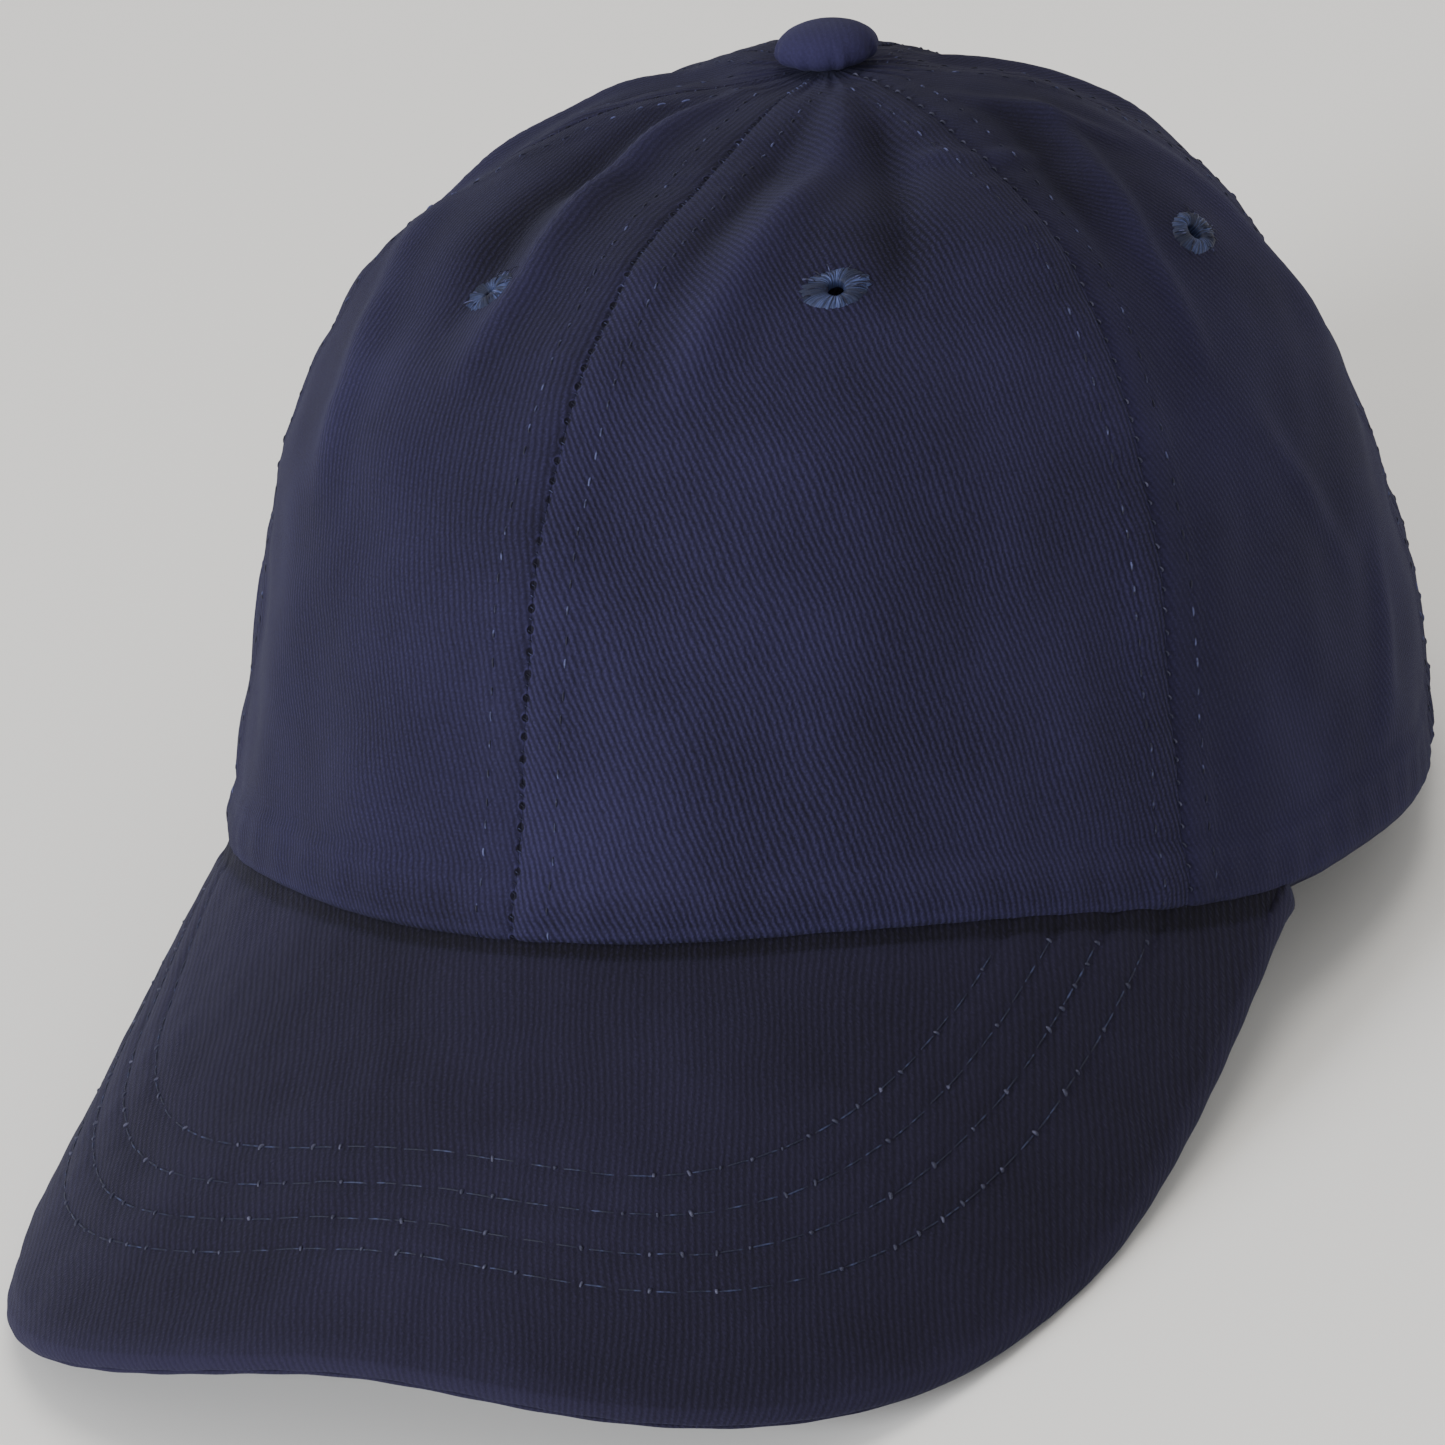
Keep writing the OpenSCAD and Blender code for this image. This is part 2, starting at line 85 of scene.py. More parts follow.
def rise(x, start, length):
    """0 up to the start, then smoothly up to 1 over a length."""
    return smooth((x - start) / length)


def fall(x, start, length):
    return 1 - rise(x, start, length)


def rim_radius(t):
    """Reach of the oval rim in plan at an angle from the front."""
    t = np.asarray(t, float) * DEG
    reach = np.where(np.cos(t) > 0, FRONT, BACK)
    side, ahead = np.abs(np.sin(t)) / HALF_WIDTH, np.abs(np.cos(t)) / reach
    return (side**RIM_POWER + ahead**RIM_POWER) ** (-1 / RIM_POWER)


def beyond_rim(xy):
    """How far a point in plan lies outside the rim."""
    angle = np.degrees(np.arctan2(xy[..., 0], -xy[..., 1]))
    return np.hypot(xy[..., 0], xy[..., 1]) - rim_radius(angle)


def visor_height(x, y):
    """Height of the visor's plain upper face."""
    ahead = -y - FRONT
    bend = (BEND - EASE * ahead) * x * x
    return -VISOR_SLOPE * ahead - bend - BEND_CUBED * np.abs(x) ** 3 - BEND_FOURTH * x**4


def rim_on_visor(t):
    r = rim_radius(t)
    return visor_height(r * np.sin(np.asarray(t) * DEG), -r * np.cos(np.asarray(t) * DEG))


def rim_height(t):
    """Height of the crown's lower edge, which follows the visor and then drops to the back."""
    turn = np.abs(t)
    ear = rim_on_visor(VISOR_ANGLE)
    share = (turn - VISOR_ANGLE) / (180 - VISOR_ANGLE)
    back = ear + (-BACK_DROP - ear) * smooth(share) - SIDE_DROOP * np.sin(np.pi * np.clip(share, 0, 1))
    front = rim_on_visor(np.clip(t, -VISOR_ANGLE, VISOR_ANGLE))
    return EDGE_GAP + np.where(turn < VISOR_ANGLE, front, back)


def crown(t, s):
    """The crown's plain surface: t is the angle from the front towards the wearer's left, and s
    the share of the way up, from 0 at the rim to 1 at the top."""
    t, s = np.broadcast_arrays(np.asarray(t, float), np.asarray(s, float))
    power = (FRONT_POWER + BACK_POWER) / 2 + np.cos(t * DEG) * (FRONT_POWER - BACK_POWER) / 2
    c, d = np.maximum(np.cos(90 * s * DEG), 0), np.maximum(np.sin(90 * s * DEG), 0)
    scale = (c**power + d**power) ** (-1 / power)
    out, up = c * scale, d * scale
    reach = rim_radius(t) * out * (1 - WALL_PULL * up * (1 - up))
    low = rim_height(t)
    x, y = reach * np.sin(t * DEG), TOP_BACK * up - reach * np.cos(t * DEG)
    return np.stack([x, y, low + (CROWN_HEIGHT - low) * up], -1)


def crown_normal(t, s):
    t, s = np.broadcast_arrays(np.asarray(t, float), np.asarray(s, float))
    low, high = np.maximum(s - 0.002, 0), np.minimum(s + 0.002, 0.999)
    return unit(np.cross(crown(t + 0.1, s) - crown(t - 0.1, s), crown(t, high) - crown(t, low)))


EAR_REACH = float(rim_radius(VISOR_ANGLE))
EAR = EAR_REACH * np.array([math.sin(VISOR_ANGLE * DEG), -math.cos(VISOR_ANGLE * DEG)])
VISOR_DEPTH = FRONT + VISOR_REACH + EAR[1]


def outline(a, wide=EAR[0], depth=VISOR_DEPTH):
    """The visor's outer edge in plan, or a curve of that kind, for a from -90 at the wearer's
    right to 90."""
    r = np.asarray(a, float) * DEG
    side, front = np.abs(np.sin(r)) ** (2 / VISOR_POWER), np.abs(np.cos(r)) ** (2 / VISOR_POWER)
    return np.stack([np.sign(r) * wide * side, EAR[1] - depth * front], -1)


def inner_edge(a, depth=2.2):
    t = VISOR_ANGLE * np.asarray(a, float) / 90
    r = rim_radius(t) - depth
    return np.stack([r * np.sin(t * DEG), -r * np.cos(t * DEG)], -1)


def visor_normal(x, y):
    e = 0.05
    slope_x = (visor_height(x - e, y) - visor_height(x + e, y)) / (2 * e)
    slope_y = (visor_height(x, y - e) - visor_height(x, y + e)) / (2 * e)
    return unit(np.stack([slope_x, slope_y, np.ones_like(x)], -1))


def visor_point(xy, above=0.0, hold=0.0):
    """A point at a height above the visor's upper face: right over its place in plan where
    hold is 1, and along the surface's normal where hold is 0."""
    above = np.broadcast_to(above, xy.shape[:-1])[..., None]
    n = visor_normal(xy[..., 0], xy[..., 1])
    q = xy - np.broadcast_to(hold, xy.shape[:-1])[..., None] * above * n[..., :2]
    n = visor_normal(q[..., 0], q[..., 1])
    return np.concatenate([q, visor_height(q[..., 0], q[..., 1])[..., None]], -1) + above * n, n


# ---- Standing on the table: the CAD boxes say where
def lean(p):
    p = np.asarray(p, float)
    c, s = math.cos(LEAN), math.sin(LEAN)
    return np.stack([p[..., 0], p[..., 1] * c + p[..., 2] * s, p[..., 2] * c - p[..., 1] * s], -1)


def cad_visor_grid(above):
    i = np.arange(-26, 27)
    a = 90 * np.sign(i) * (1 - (1 - np.abs(i) / 26) ** 1.35)
    w = np.linspace(0, 1, 10)[:, None, None]
    room = np.linalg.norm(outline(a) - inner_edge(a), axis=-1)
    xy = inner_edge(a) + (outline(a) - inner_edge(a)) * w
    return lean(visor_point(xy, above, 1 - w[..., 0] * rise(room, 3, 15))[0])


low_box = np.array(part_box("visor_under_cover")[0]) * 1000
UNDER_COVER = 0.7
cad_faces = [cad_visor_grid(above - VISOR_THICK).reshape(-1, 3).min(0) for above in (0, UNDER_COVER)]
grid_low = np.minimum(*cad_faces)
SHIFT = np.array([0, low_box[1] - grid_low[1], low_box[2] - grid_low[2]])


def place(p):
    """From the cap's own frame, in millimetres, to the row's frame, in metres."""
    return (lean(p) + SHIFT) / 1000


# ---- Camera
def new_object(name, data):
    obj = bpy.data.objects.new(name, data)
    bpy.context.scene.collection.objects.link(obj)
    return obj


def look_from(azimuth, elevation, roll):
    a, e, r = azimuth * DEG, elevation * DEG, roll * DEG
    back = np.array([math.sin(a) * math.cos(e), -math.cos(a) * math.cos(e), math.sin(e)])
    right = np.array([math.cos(a), math.sin(a), 0])
    up = np.cross(back, right)
    return back, right * math.cos(r) + up * math.sin(r), -right * math.sin(r) + up * math.cos(r)


CAMERA_DISTANCE, SENSOR, FOCAL = 1100.0, 36.0, 5.3248
AIM_RIGHT, AIM_UP = -0.01424, -0.01145
back, right, up = look_from(24.31, 21.052, -5.919)
eye = place(back * CAMERA_DISTANCE)
ahead = -back + AIM_RIGHT * right + AIM_UP * up
ahead = unit(ahead)
cam_up = unit(up - ahead * np.dot(up, ahead))
cam_right = np.cross(ahead, cam_up)
cam_data = bpy.data.cameras.new("camera")
cam_data.sensor_width = SENSOR
cam_data.lens = SENSOR * FOCAL
cam_data.clip_start = 0.05
cam_data.clip_end = 50
camera = new_object("camera", cam_data)
axes = np.stack([lean(cam_right), lean(cam_up), -lean(ahead)], -1)
camera.matrix_world = Matrix([[*axes[i], eye[i]] for i in range(3)] + [[0, 0, 0, 1]])
bpy.context.scene.camera = camera


# ---- Building meshes
def grid_faces(rows, cols, closed=False, keep=None):
    r, c = np.meshgrid(np.arange(rows - 1), np.arange(cols if closed else cols - 1), indexing="ij")
    d = (c + 1) % cols
    faces = np.stack([r * cols + c, r * cols + d, (r + 1) * cols + d, (r + 1) * cols + c], -1)
    return faces[keep] if keep is not None else faces.reshape(-1, 4)


def make(
    name, points, faces, mat, body="crown", slot=None, replaces=(), uv=None, wear=0.0, ribs=0.6,
    more=None, thick=0.0
):
    """An object from a grid of points in millimetres. A thickness above 0 grows to the back."""
    mesh = bpy.data.meshes.new(name)
    mesh.from_pydata(place(points).reshape(-1, 3).tolist(), [], faces.tolist())
    if uv is not None:
        loops = np.empty(len(mesh.loops), dtype=np.int64)
        mesh.loops.foreach_get("vertex_index", loops)
        layer = mesh.uv_layers.new(name="weave")
        layer.data.foreach_set("uv", uv.reshape(-1, 2)[loops].ravel().astype(np.float32))
    for key, value in {"wear": wear, "ribs": ribs, **(more or {})}.items():
        if uv is not None:
            value = np.ascontiguousarray(np.broadcast_to(value, points.shape[:-1]), np.float32).ravel()
            mesh.attributes.new(key, "FLOAT", "POINT").data.foreach_set("value", value)
    mesh.polygons.foreach_set("use_smooth", [True] * len(mesh.polygons))
    mesh.update()
    obj = new_object(name, mesh)
    mesh.materials.append(mat)
    if thick:
        mod = obj.modifiers.new("thickness", "SOLIDIFY")
        mod.thickness = abs(thick) / 1000
        mod.offset = -1 if thick > 0 else 1
    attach(obj, body)
    if replaces:
        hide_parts(*replaces)
    return obj


def cover(name, points, faces, mat, slot, **looks):
    """A soft piece, which is shown instead of its CAD node."""
    return make(name, points, faces, mat, slot=slot, replaces=[name], **looks)


def ripple(p, wavelength, seed, count=20):
    """Smooth random waves over space, about 1 high."""
    rng = np.random.default_rng(seed)
    k = rng.normal(size=(count, 3))
    length = wavelength * rng.uniform(0.7, 1.5, (count, 1))
    k *= 2 * np.pi / length / np.linalg.norm(k, axis=1, keepdims=True)
    phase = rng.uniform(0, 2 * np.pi, count)
    return np.cos(p @ k.T + phase).sum(-1) * math.sqrt(2 / count)


def bump(d, centre, width):
    return np.exp(-(((d - centre) / width) ** 2))


# ---- Materials
class Value:
    """A socket of a node tree; sums and products of values make Math nodes."""

    def __init__(self, nodes, socket):
        self.nodes, self.socket = nodes, socket

    def __add__(self, other):
        return self.nodes.math("ADD", self, other)

    def __sub__(self, other):
        return self.nodes.math("SUBTRACT", self, other)

    def __rsub__(self, other):
        return self.nodes.math("SUBTRACT", other, self)

    def __mul__(self, other):
        return self.nodes.math("MULTIPLY", self, other)

    def __truediv__(self, other):
        return self.nodes.math("DIVIDE", self, other)

    def of(self, operation):
        return self.nodes.math(operation, self)


class Nodes:
    """Short names for making a material's nodes."""

    def __init__(self, name):
        self.mat = bpy.data.materials.new(name)
        self.mat.use_nodes = True
        self.tree = self.mat.node_tree
        self.shader = self.tree.nodes["Principled BSDF"]

    def add(self, kind, **values):
        node = self.tree.nodes.new(kind)
        for key, value in values.items():
            setattr(node, key, value)
        return node

    def put(self, socket, value):
        if isinstance(value, Value):
            self.tree.links.new(value.socket, socket)
        elif socket.type == "RGBA":
            socket.default_value = (*value, 1.0)
        else:
            socket.default_value = value

    def make(self, kind, inputs, output=0, **values):
        """A node with its inputs set, as the value of one of its outputs."""
        node = self.add(kind, **values)
        for key, value in inputs.items():
            self.put(node.inputs[key], value)
        return Value(self, node.outputs[output])

    def surface(self, inputs):
        for key, value in inputs.items():
            self.put(self.shader.inputs[key], value)

    def math(self, operation, a, b=0.0, clamp=False):
        return self.make("ShaderNodeMath", {0: a, 1: b}, operation=operation, use_clamp=clamp)

    def halved(self, a):
        """A wave from -1 to 1 brought to 0 to 1."""
        return self.make("ShaderNodeMath", {0: a, 1: 0.5, 2: 0.5}, operation="MULTIPLY_ADD")

    def dot(self, a, vector):
        return self.make("ShaderNodeVectorMath", {0: a, 1: vector}, "Value", operation="DOT_PRODUCT")

    def attribute(self, name):
        return self.make("ShaderNodeAttribute", {}, "Fac", attribute_name=name)

    def weave_map(self):
        return self.make("ShaderNodeUVMap", {}, uv_map="weave")

    def place(self):
        return self.make("ShaderNodeTexCoord", {}, "Object")

    def noise(self, vector, scale, detail=2.0, rough=0.5):
        inputs = {"Vector": vector, "Scale": scale, "Detail": detail, "Roughness": rough}
        return self.make("ShaderNodeTexNoise", inputs, "Fac")

    def mix(self, factor, a, b):
        return self.make("ShaderNodeMix", {0: factor, 6: a, 7: b}, 2, data_type="RGBA")

    def ramp(self, value, low, high):
        return self.make("ShaderNodeMapRange", {0: value, 1: low, 2: high}, clamp=True)

    def bump(self, height, distance):
        return self.make("ShaderNodeBump", {"Height": height, "Distance": distance}, "Normal")


LADDER_PITCH, GRAIN_PITCH = 2.9, 0.55
CLOTH_ROUGH, CLOUD_FADE = 0.92, 0.30


def cloth(
    name, deep, pale, angle, pitch, depth=0.00016, rib=1.0, sheen=0.05, tint=(0.45, 0.5, 0.9), seams=False
):
    """Twill: ribs at an angle and pitch in millimetres over the weave map, crossed by finer threads.
    The mesh says how strongly the ribs stand out, and how much lighter or darker the cloth is
    painted there: partly wear, partly painted shade and painted highlight."""
    n = Nodes(name)
    uv, place_ = n.weave_map(), n.place()
    a = math.radians(angle)
    drift = n.noise(uv, 0.05, 1.0) * 3.0 + n.noise(uv, 0.9, 2.0) * 0.6
    across = n.dot(uv, (-math.sin(a) / pitch, math.cos(a) / pitch, 0)) + drift
    along = n.dot(uv, (math.cos(a) / GRAIN_PITCH, math.sin(a) / GRAIN_PITCH, 0))
    ribs = n.halved((across * (2 * math.pi)).of("SINE"))
    step = across.of("FLOOR") * 0.5
    grain = n.halved(((along + step) * (2 * math.pi)).of("SINE"))
    fuzz = n.noise(uv, 2.2, 4.0, 0.75)
    patchy = n.ramp(n.noise(uv, 1.1, 2.0, 0.6), 0.32, 0.68) * 0.9 + 0.55
    strong = n.attribute("ribs") * patchy * rib
    height = (ribs - 0.5) * (strong * 0.56) + 0.06 + grain * ribs * (strong * 0.32) + fuzz * 1.12
    # the mesh's wear, painted shade and painted highlights, which lift or lower the colour
    worn_and_painted_light = n.attribute("wear")
    if seams:
        # needle holes along the crown's seams, dented and painted dark as painted shade, and the raised
        # cloth beside them, lifted and painted paler as painted highlight
        beat = n.attribute("seam_run") * (2 * math.pi / LADDER_PITCH) + n.noise(place_, 70.0, 2.0) * 9.0
        gap = n.attribute("seam_gap") / 0.45
        far = gap * gap + (1.0 - beat.of("COSINE")) * 1.7
        hole = (1.0 - n.ramp(far, 0.1, 1.5)) * n.attribute("seam_holes")
        hole = hole * n.ramp(n.noise(place_, 130.0, 1.0), 0.30, 0.62)
        lip = n.ramp(far, 1.0, 1.6) * (1.0 - n.ramp(far, 1.7, 3.0)) * n.attribute("seam_holes")
        lip = lip * n.ramp(n.noise(place_, 420.0, 1.0), 0.42, 0.6)
        worn_and_painted_light = worn_and_painted_light - hole * 1.3 + lip * 0.45
        height = height - hole * 1.6 + lip * 0.4
    cloud = n.ramp(n.noise(place_, 28.0, 3.0, 0.6), 0.32, 0.72)
    shade = n.ramp(height, 0.25, 1.15) * 0.75 + cloud * CLOUD_FADE
    shade = n.math("ADD", shade, worn_and_painted_light, clamp=True)
    n.surface({
        "Base Color": n.mix(shade, deep, pale), "Roughness": fuzz * 0.12 + (CLOTH_ROUGH - 0.08),
        "Normal": n.bump(height, depth), "Sheen Weight": sheen, "Sheen Roughness": 0.45,
        "Sheen Tint": tint, "Specular IOR Level": 0.20,
    })
    return n.mat


DEEP, PALE = (0.0028, 0.0022, 0.0086), (0.0232, 0.0208, 0.0650)
VISOR_DEEP, VISOR_PALE = (0.0018, 0.0014, 0.0045), (0.0152, 0.0132, 0.0355)
TWILL_ANGLE = -69.0
TWILL_PITCH = 0.87
crown_cloth = cloth("crown_twill", DEEP, PALE, TWILL_ANGLE, TWILL_PITCH, seams=True)
visor_cloth = cloth("visor_twill", VISOR_DEEP, VISOR_PALE, -71.0, TWILL_PITCH, depth=0.00013)
strap_cloth = cloth("strap_twill", DEEP, PALE, TWILL_ANGLE, TWILL_PITCH, depth=0.00012)
button_cloth = cloth("button_twill", DEEP, PALE, -55.0, TWILL_PITCH, depth=0.00010, rib=0.35)
tape_cloth = cloth("tape_weave", (0.012, 0.013, 0.027), (0.034, 0.037, 0.08), 0.0, 0.6, depth=0.0001)
band_cloth = cloth(
    "sweatband_weave", (0.011, 0.012, 0.025), (0.036, 0.039, 0.085), TWILL_ANGLE, 0.7, depth=0.0001
)
label_cloth = cloth(
    "label_weave", (0.50, 0.50, 0.48), (0.80, 0.80, 0.77), 0.0, 0.4, depth=0.00005, sheen=0.1,
    tint=(1, 1, 1)
)
# Noise scale, per metre, of the painted glints on thread
PAINTED_GLINT_SIZE = 700.0


def thread_material(name, deep, pale, rough=0.55, painted_glints=0.0):
    """Thread of fine strands; with glints above 0, only some small places are pale, as painted glints
    where the thread catches the light.
    """
    n = Nodes(name)
    place_ = n.place()
    strands = n.noise(place_, 2600.0, 2.0, 0.6)
    shade = strands
    if painted_glints:
        shade = n.ramp(n.noise(place_, PAINTED_GLINT_SIZE, 2.0, 0.5), 0.5, 0.5 + painted_glints) * (strands + 0.5)
    n.surface({
        "Base Color": n.mix(shade, deep, pale), "Roughness": strands * 0.2 + (rough - 0.1),
        "Normal": n.bump(strands, 0.00008), "Sheen Weight": 0.05, "Sheen Tint": (0.5, 0.6, 1.0),
        "Specular IOR Level": 0.25,
    })
    return n.mat


seam_thread = thread_material("seam_thread", (0.007, 0.007, 0.020), (0.066, 0.074, 0.170), painted_glints=0.16)
# Painted highlight: a paler copy of the stitching thread, for the visor's needle-hole tufts and one
# seam's bright stitches, with more painted glints
tuft_thread = thread_material("tuft_thread", (0.020, 0.021, 0.042), (0.105, 0.107, 0.175), painted_glints=0.35)
visor_thread = thread_material("visor_thread", (0.007, 0.008, 0.022), (0.036, 0.046, 0.112), painted_glints=0.24)


def satin_thread():
    """Threads side by side round a hole; the map runs along the ring and outwards, in millimetres."""
    n = Nodes("eyelet_thread")
    uv = n.weave_map()
    squash = n.make("ShaderNodeVectorMath", {0: uv, 1: (1.0, 0.16, 1.0)}, operation="MULTIPLY")
    strands = n.noise(squash, 1.3, 3.0, 0.6)
    shade = n.ramp(strands, 0.42, 0.62) * n.ramp(n.noise(uv, 0.11, 2.0, 0.5), 0.40, 0.60) + 0.08
    n.surface({
        "Base Color": n.mix(shade, (0.0040, 0.0060, 0.0200), (0.062, 0.086, 0.220)),
        "Normal": n.bump(strands, 0.00012), "Roughness": 0.55, "Specular IOR Level": 0.3,
    })
    return n.mat


eyelet_thread = satin_thread()
white_thread = thread_material("white_thread", (0.5, 0.5, 0.48), (0.85, 0.85, 0.82), 0.6)


def metal(name, deep, pale, rough):
    n = Nodes(name)
    spots = n.ramp(n.noise(n.place(), 420.0, 4.0, 0.65), 0.35, 0.68)
    n.surface({
        "Base Color": n.mix(spots * 0.5, pale, deep), "Roughness": spots * 0.25 + rough,
        "Normal": n.bump(n.noise(n.place(), 2400.0, 3.0, 0.6), 0.00002), "Metallic": 1.0,
    })
    return n.mat


brass = metal("antique_brass", (0.12, 0.075, 0.03), (0.56, 0.40, 0.18), 0.28)
steel = metal("plated_steel", (0.25, 0.26, 0.27), (0.62, 0.63, 0.65), 0.3)


def plastic(name, colour):
    n = Nodes(name)
    grain = n.noise(n.place(), 900.0, 3.0, 0.6)
    n.surface({
        "Base Color": n.mix(grain, [c * 0.92 for c in colour], colour),
        "Normal": n.bump(grain, 0.00003), "Roughness": 0.55,
    })
    return n.mat


board_plastic = plastic("board_plastic", (0.8, 0.8, 0.78))


# ---- Folds of the crown: points (angle, share of the way up), height, half width
FOLDS = [
    ([(31.8, 0.90), (22.0, 0.75), (15.5, 0.66), (11.0, 0.56), (9.5, 0.50)], 1.5, 3.4),
    ([(38.0, 0.88), (35.2, 0.798), (31.5, 0.633), (30.0, 0.56)], -1.3, 3.2),
    ([(14.0, 0.90), (10.0, 0.78), (7.5, 0.68), (5.5, 0.58)], -1.1, 3.0),
    ([(-28.2, 0.90), (-21.5, 0.80), (-15.5, 0.69), (-12.5, 0.60), (-12.5, 0.50)], 1.7, 2.8),
    ([(-38.0, 0.86), (-29.0, 0.74), (-22.0, 0.62), (-18.5, 0.52)], -1.5, 3.6),
    ([(-48.5, 0.62), (-36.0, 0.53), (-29.5, 0.46), (-26.5, 0.38)], 1.2, 3.6),
    ([(86.8, 0.76), (74.0, 0.65), (68.5, 0.55), (67.5, 0.44)], 0.9, 2.2),
    ([(76.0, 0.80), (64.0, 0.66), (60.5, 0.55)], -0.9, 3.6),
    ([(40.0, 0.74), (55.0, 0.715), (68.2, 0.70)], 0.9, 2.4),
    ([(70.0, 0.84), (80.0, 0.78), (86.0, 0.72), (90.0, 0.66)], 0.8, 2.4),
    ([(74.0, 0.37), (80.0, 0.30), (87.0, 0.22)], 0.6, 2.8),
    ([(95.0, 0.22), (92.0, 0.15), (85.0, 0.06)], 0.6, 3.0),
    ([(98.0, 0.70), (96.0, 0.58), (99.0, 0.45), (106.0, 0.34)], 1.0, 5.0),
    ([(107.0, 0.52), (110.0, 0.40), (118.0, 0.28)], -0.9, 4.0),
    # The side that faces away
    ([(-92.0, 0.84), (-84.0, 0.72), (-74.0, 0.62), (-70.0, 0.50)], 1.2, 3.0),
    ([(-70.0, 0.86), (-64.0, 0.74), (-62.0, 0.64)], -1.0, 3.2),
    ([(-100.0, 0.74), (-104.0, 0.60), (-98.0, 0.46)], 1.1, 3.6),
    ([(-82.0, 0.40), (-90.0, 0.28), (-88.0, 0.16)], 0.7, 3.4),
    ([(150.0, 0.86), (140.0, 0.76), (134.0, 0.66), (136.0, 0.54)], 1.1, 3.4),
    ([(165.0, 0.84), (160.0, 0.72), (164.0, 0.60)], -0.9, 3.4),
    ([(-135.0, 0.88), (-144.0, 0.76), (-140.0, 0.64), (-132.0, 0.54)], 1.2, 3.2),
    ([(-160.0, 0.86), (-166.0, 0.74), (-160.0, 0.62)], -0.9, 3.4),
    ([(128.0, 0.40), (134.0, 0.28), (130.0, 0.16)], 0.7, 4.0),
    ([(-122.0, 0.44), (-130.0, 0.32), (-128.0, 0.18)], 0.8, 4.0),
]

FOLD_STEPS, FOLD_STRENGTH = 36, 1.35


def fold_height(p):
    """Height of the folds at points of the plain crown."""
    total = np.zeros(p.shape[:-1])
    for points, height, width in FOLDS:
        key = np.array(points)
        steps = np.linspace(0, len(key) - 1, FOLD_STEPS)
        line = crown(*(np.interp(steps, np.arange(len(key)), k) for k in key.T))
        middle = line[FOLD_STEPS // 2]
        reach = np.linalg.norm(line - middle, axis=1).max() + 3.5 * width
        near = np.linalg.norm(p - middle, axis=-1) < reach
        if not near.any():
            continue
        q = p[near]
        gap = np.full(len(q), 1e9)
        share = np.zeros(len(q))
        for k in range(FOLD_STEPS):
            d = np.linalg.norm(q - line[k], axis=-1)
            closer = d < gap
            gap[closer] = d[closer]
            share[closer] = k / (FOLD_STEPS - 1)
        taper = np.sin(np.pi * (0.06 + 0.88 * share)) ** 0.7
        total[near] += FOLD_STRENGTH * height * taper * bump(gap, 0, width)
    return total


# Wide dents: angle, depth, half width in degrees, share of the way up, half height
DENTS = [
    (-54.0, 1.05, 17.0, 0.21, 0.13),
    (-82.0, 0.9, 16.0, 0.70, 0.08),
    (119.0, 0.9, 12.0, 0.22, 0.03),
    (121.0, 1.5, 12.0, 0.43, 0.08),
    (135.0, -1.3, 13.0, 0.65, 0.07),
    (113.0, 1.0, 10.0, 0.02, 0.03),
]
STITCH_ROW, STITCH_PITCH = 5.1, 3.6
# How strongly the needle holes show, by seam: their dents, their painted shade, and the painted highlight
# on the cloth beside them
SEAM_HOLES, OTHER_HOLES = {0.0: 0.72, SEAM_1: 0.0, -SEAM_1: 0.4}, 0.35
# The panels end under the button
TOP_SHARE = 0.988
RIB_STRENGTH = {"front_panel_left": 1.0, "front_panel_right": 0.62, "side_panel_left": 0.42}
# Painted shade: colour taken off the panel that faces the key lamp
PANEL_PAINTED_SHADE = {"front_panel_right": 0.10}
EYELET_OPENING = 1.9


def seam_shape(d, along, seam, room):
    """Height of the cloth at a distance d from a seam, whose allowances lie open under it."""
    size = smooth(room / 34)
    rng = np.random.default_rng(int(seam * 10) + 5000)
    phase = rng.uniform(0, 6.28, 4)
    beat = along / 6.4 + 0.5 * np.sin(along / 17 + phase[0]) + 0.3 * np.sin(along / 7.3 + phase[1])
    wander = 1.5 * np.sin(along / 5.3 + phase[3])
    pits = smooth(0.4 + 0.8 * np.cos(2 * np.pi * along / LADDER_PITCH + wander))
    deep = 0.12 if abs(seam) < 50 else 0.04
    shape = -(0.05 if seam == SEAM_1 else 0.12) * bump(d, 0, 0.26) - deep * bump(d, 0, 0.32) * pits
    shape += 0.30 * rise(d, 0.05, 1.8) * fall(d, 5.0, 2.4) * size
    pull = 0.6 + 0.4 * np.cos(2 * np.pi * along / STITCH_PITCH)
    shape -= 0.20 * bump(d, STITCH_ROW, 0.6) * pull * size
    shape += 0.09 * np.sin(2 * np.pi * beat) * bump(d, 4.4, 3.2) * size
    shape += 0.07 * np.sin(2 * np.pi * beat * 0.61 + phase[2]) * bump(d, 2.0, 2.6) * size
    return shape


def arch_low(t):
    """The share of the way up at which the arch's edge cuts the line at angle t."""
    t = np.atleast_1d(np.asarray(t, float))
    low, high = np.zeros(len(t)), np.full(len(t), 0.6)

    def inside(s):
        p = crown(t, s)
        return p[:, 0] ** 2 + np.maximum(p[:, 2] - ARCH_BASE, 0) ** 2 < ARCH_RADIUS**2

    open_here = inside(np.zeros(len(t))) & (np.abs(t) > 100)
    for _ in range(30):
        mid = (low + high) / 2
        within = inside(mid)
        low, high = np.where(within, mid, low), np.where(within, high, mid)
    return np.where(open_here, high, 0.0)


ARCH_T = np.concatenate([np.linspace(150.55, 152, 12), np.linspace(152.4, 180, 40)])
arch_foot = crown(np.full(6, 150.6), np.linspace(0, float(arch_low(150.75)[0]), 6))
arch_edge = np.concatenate([arch_foot, crown(ARCH_T, arch_low(ARCH_T))])
arch_edge = np.concatenate([arch_edge, arch_edge[::-1] * [-1, 1, 1]])


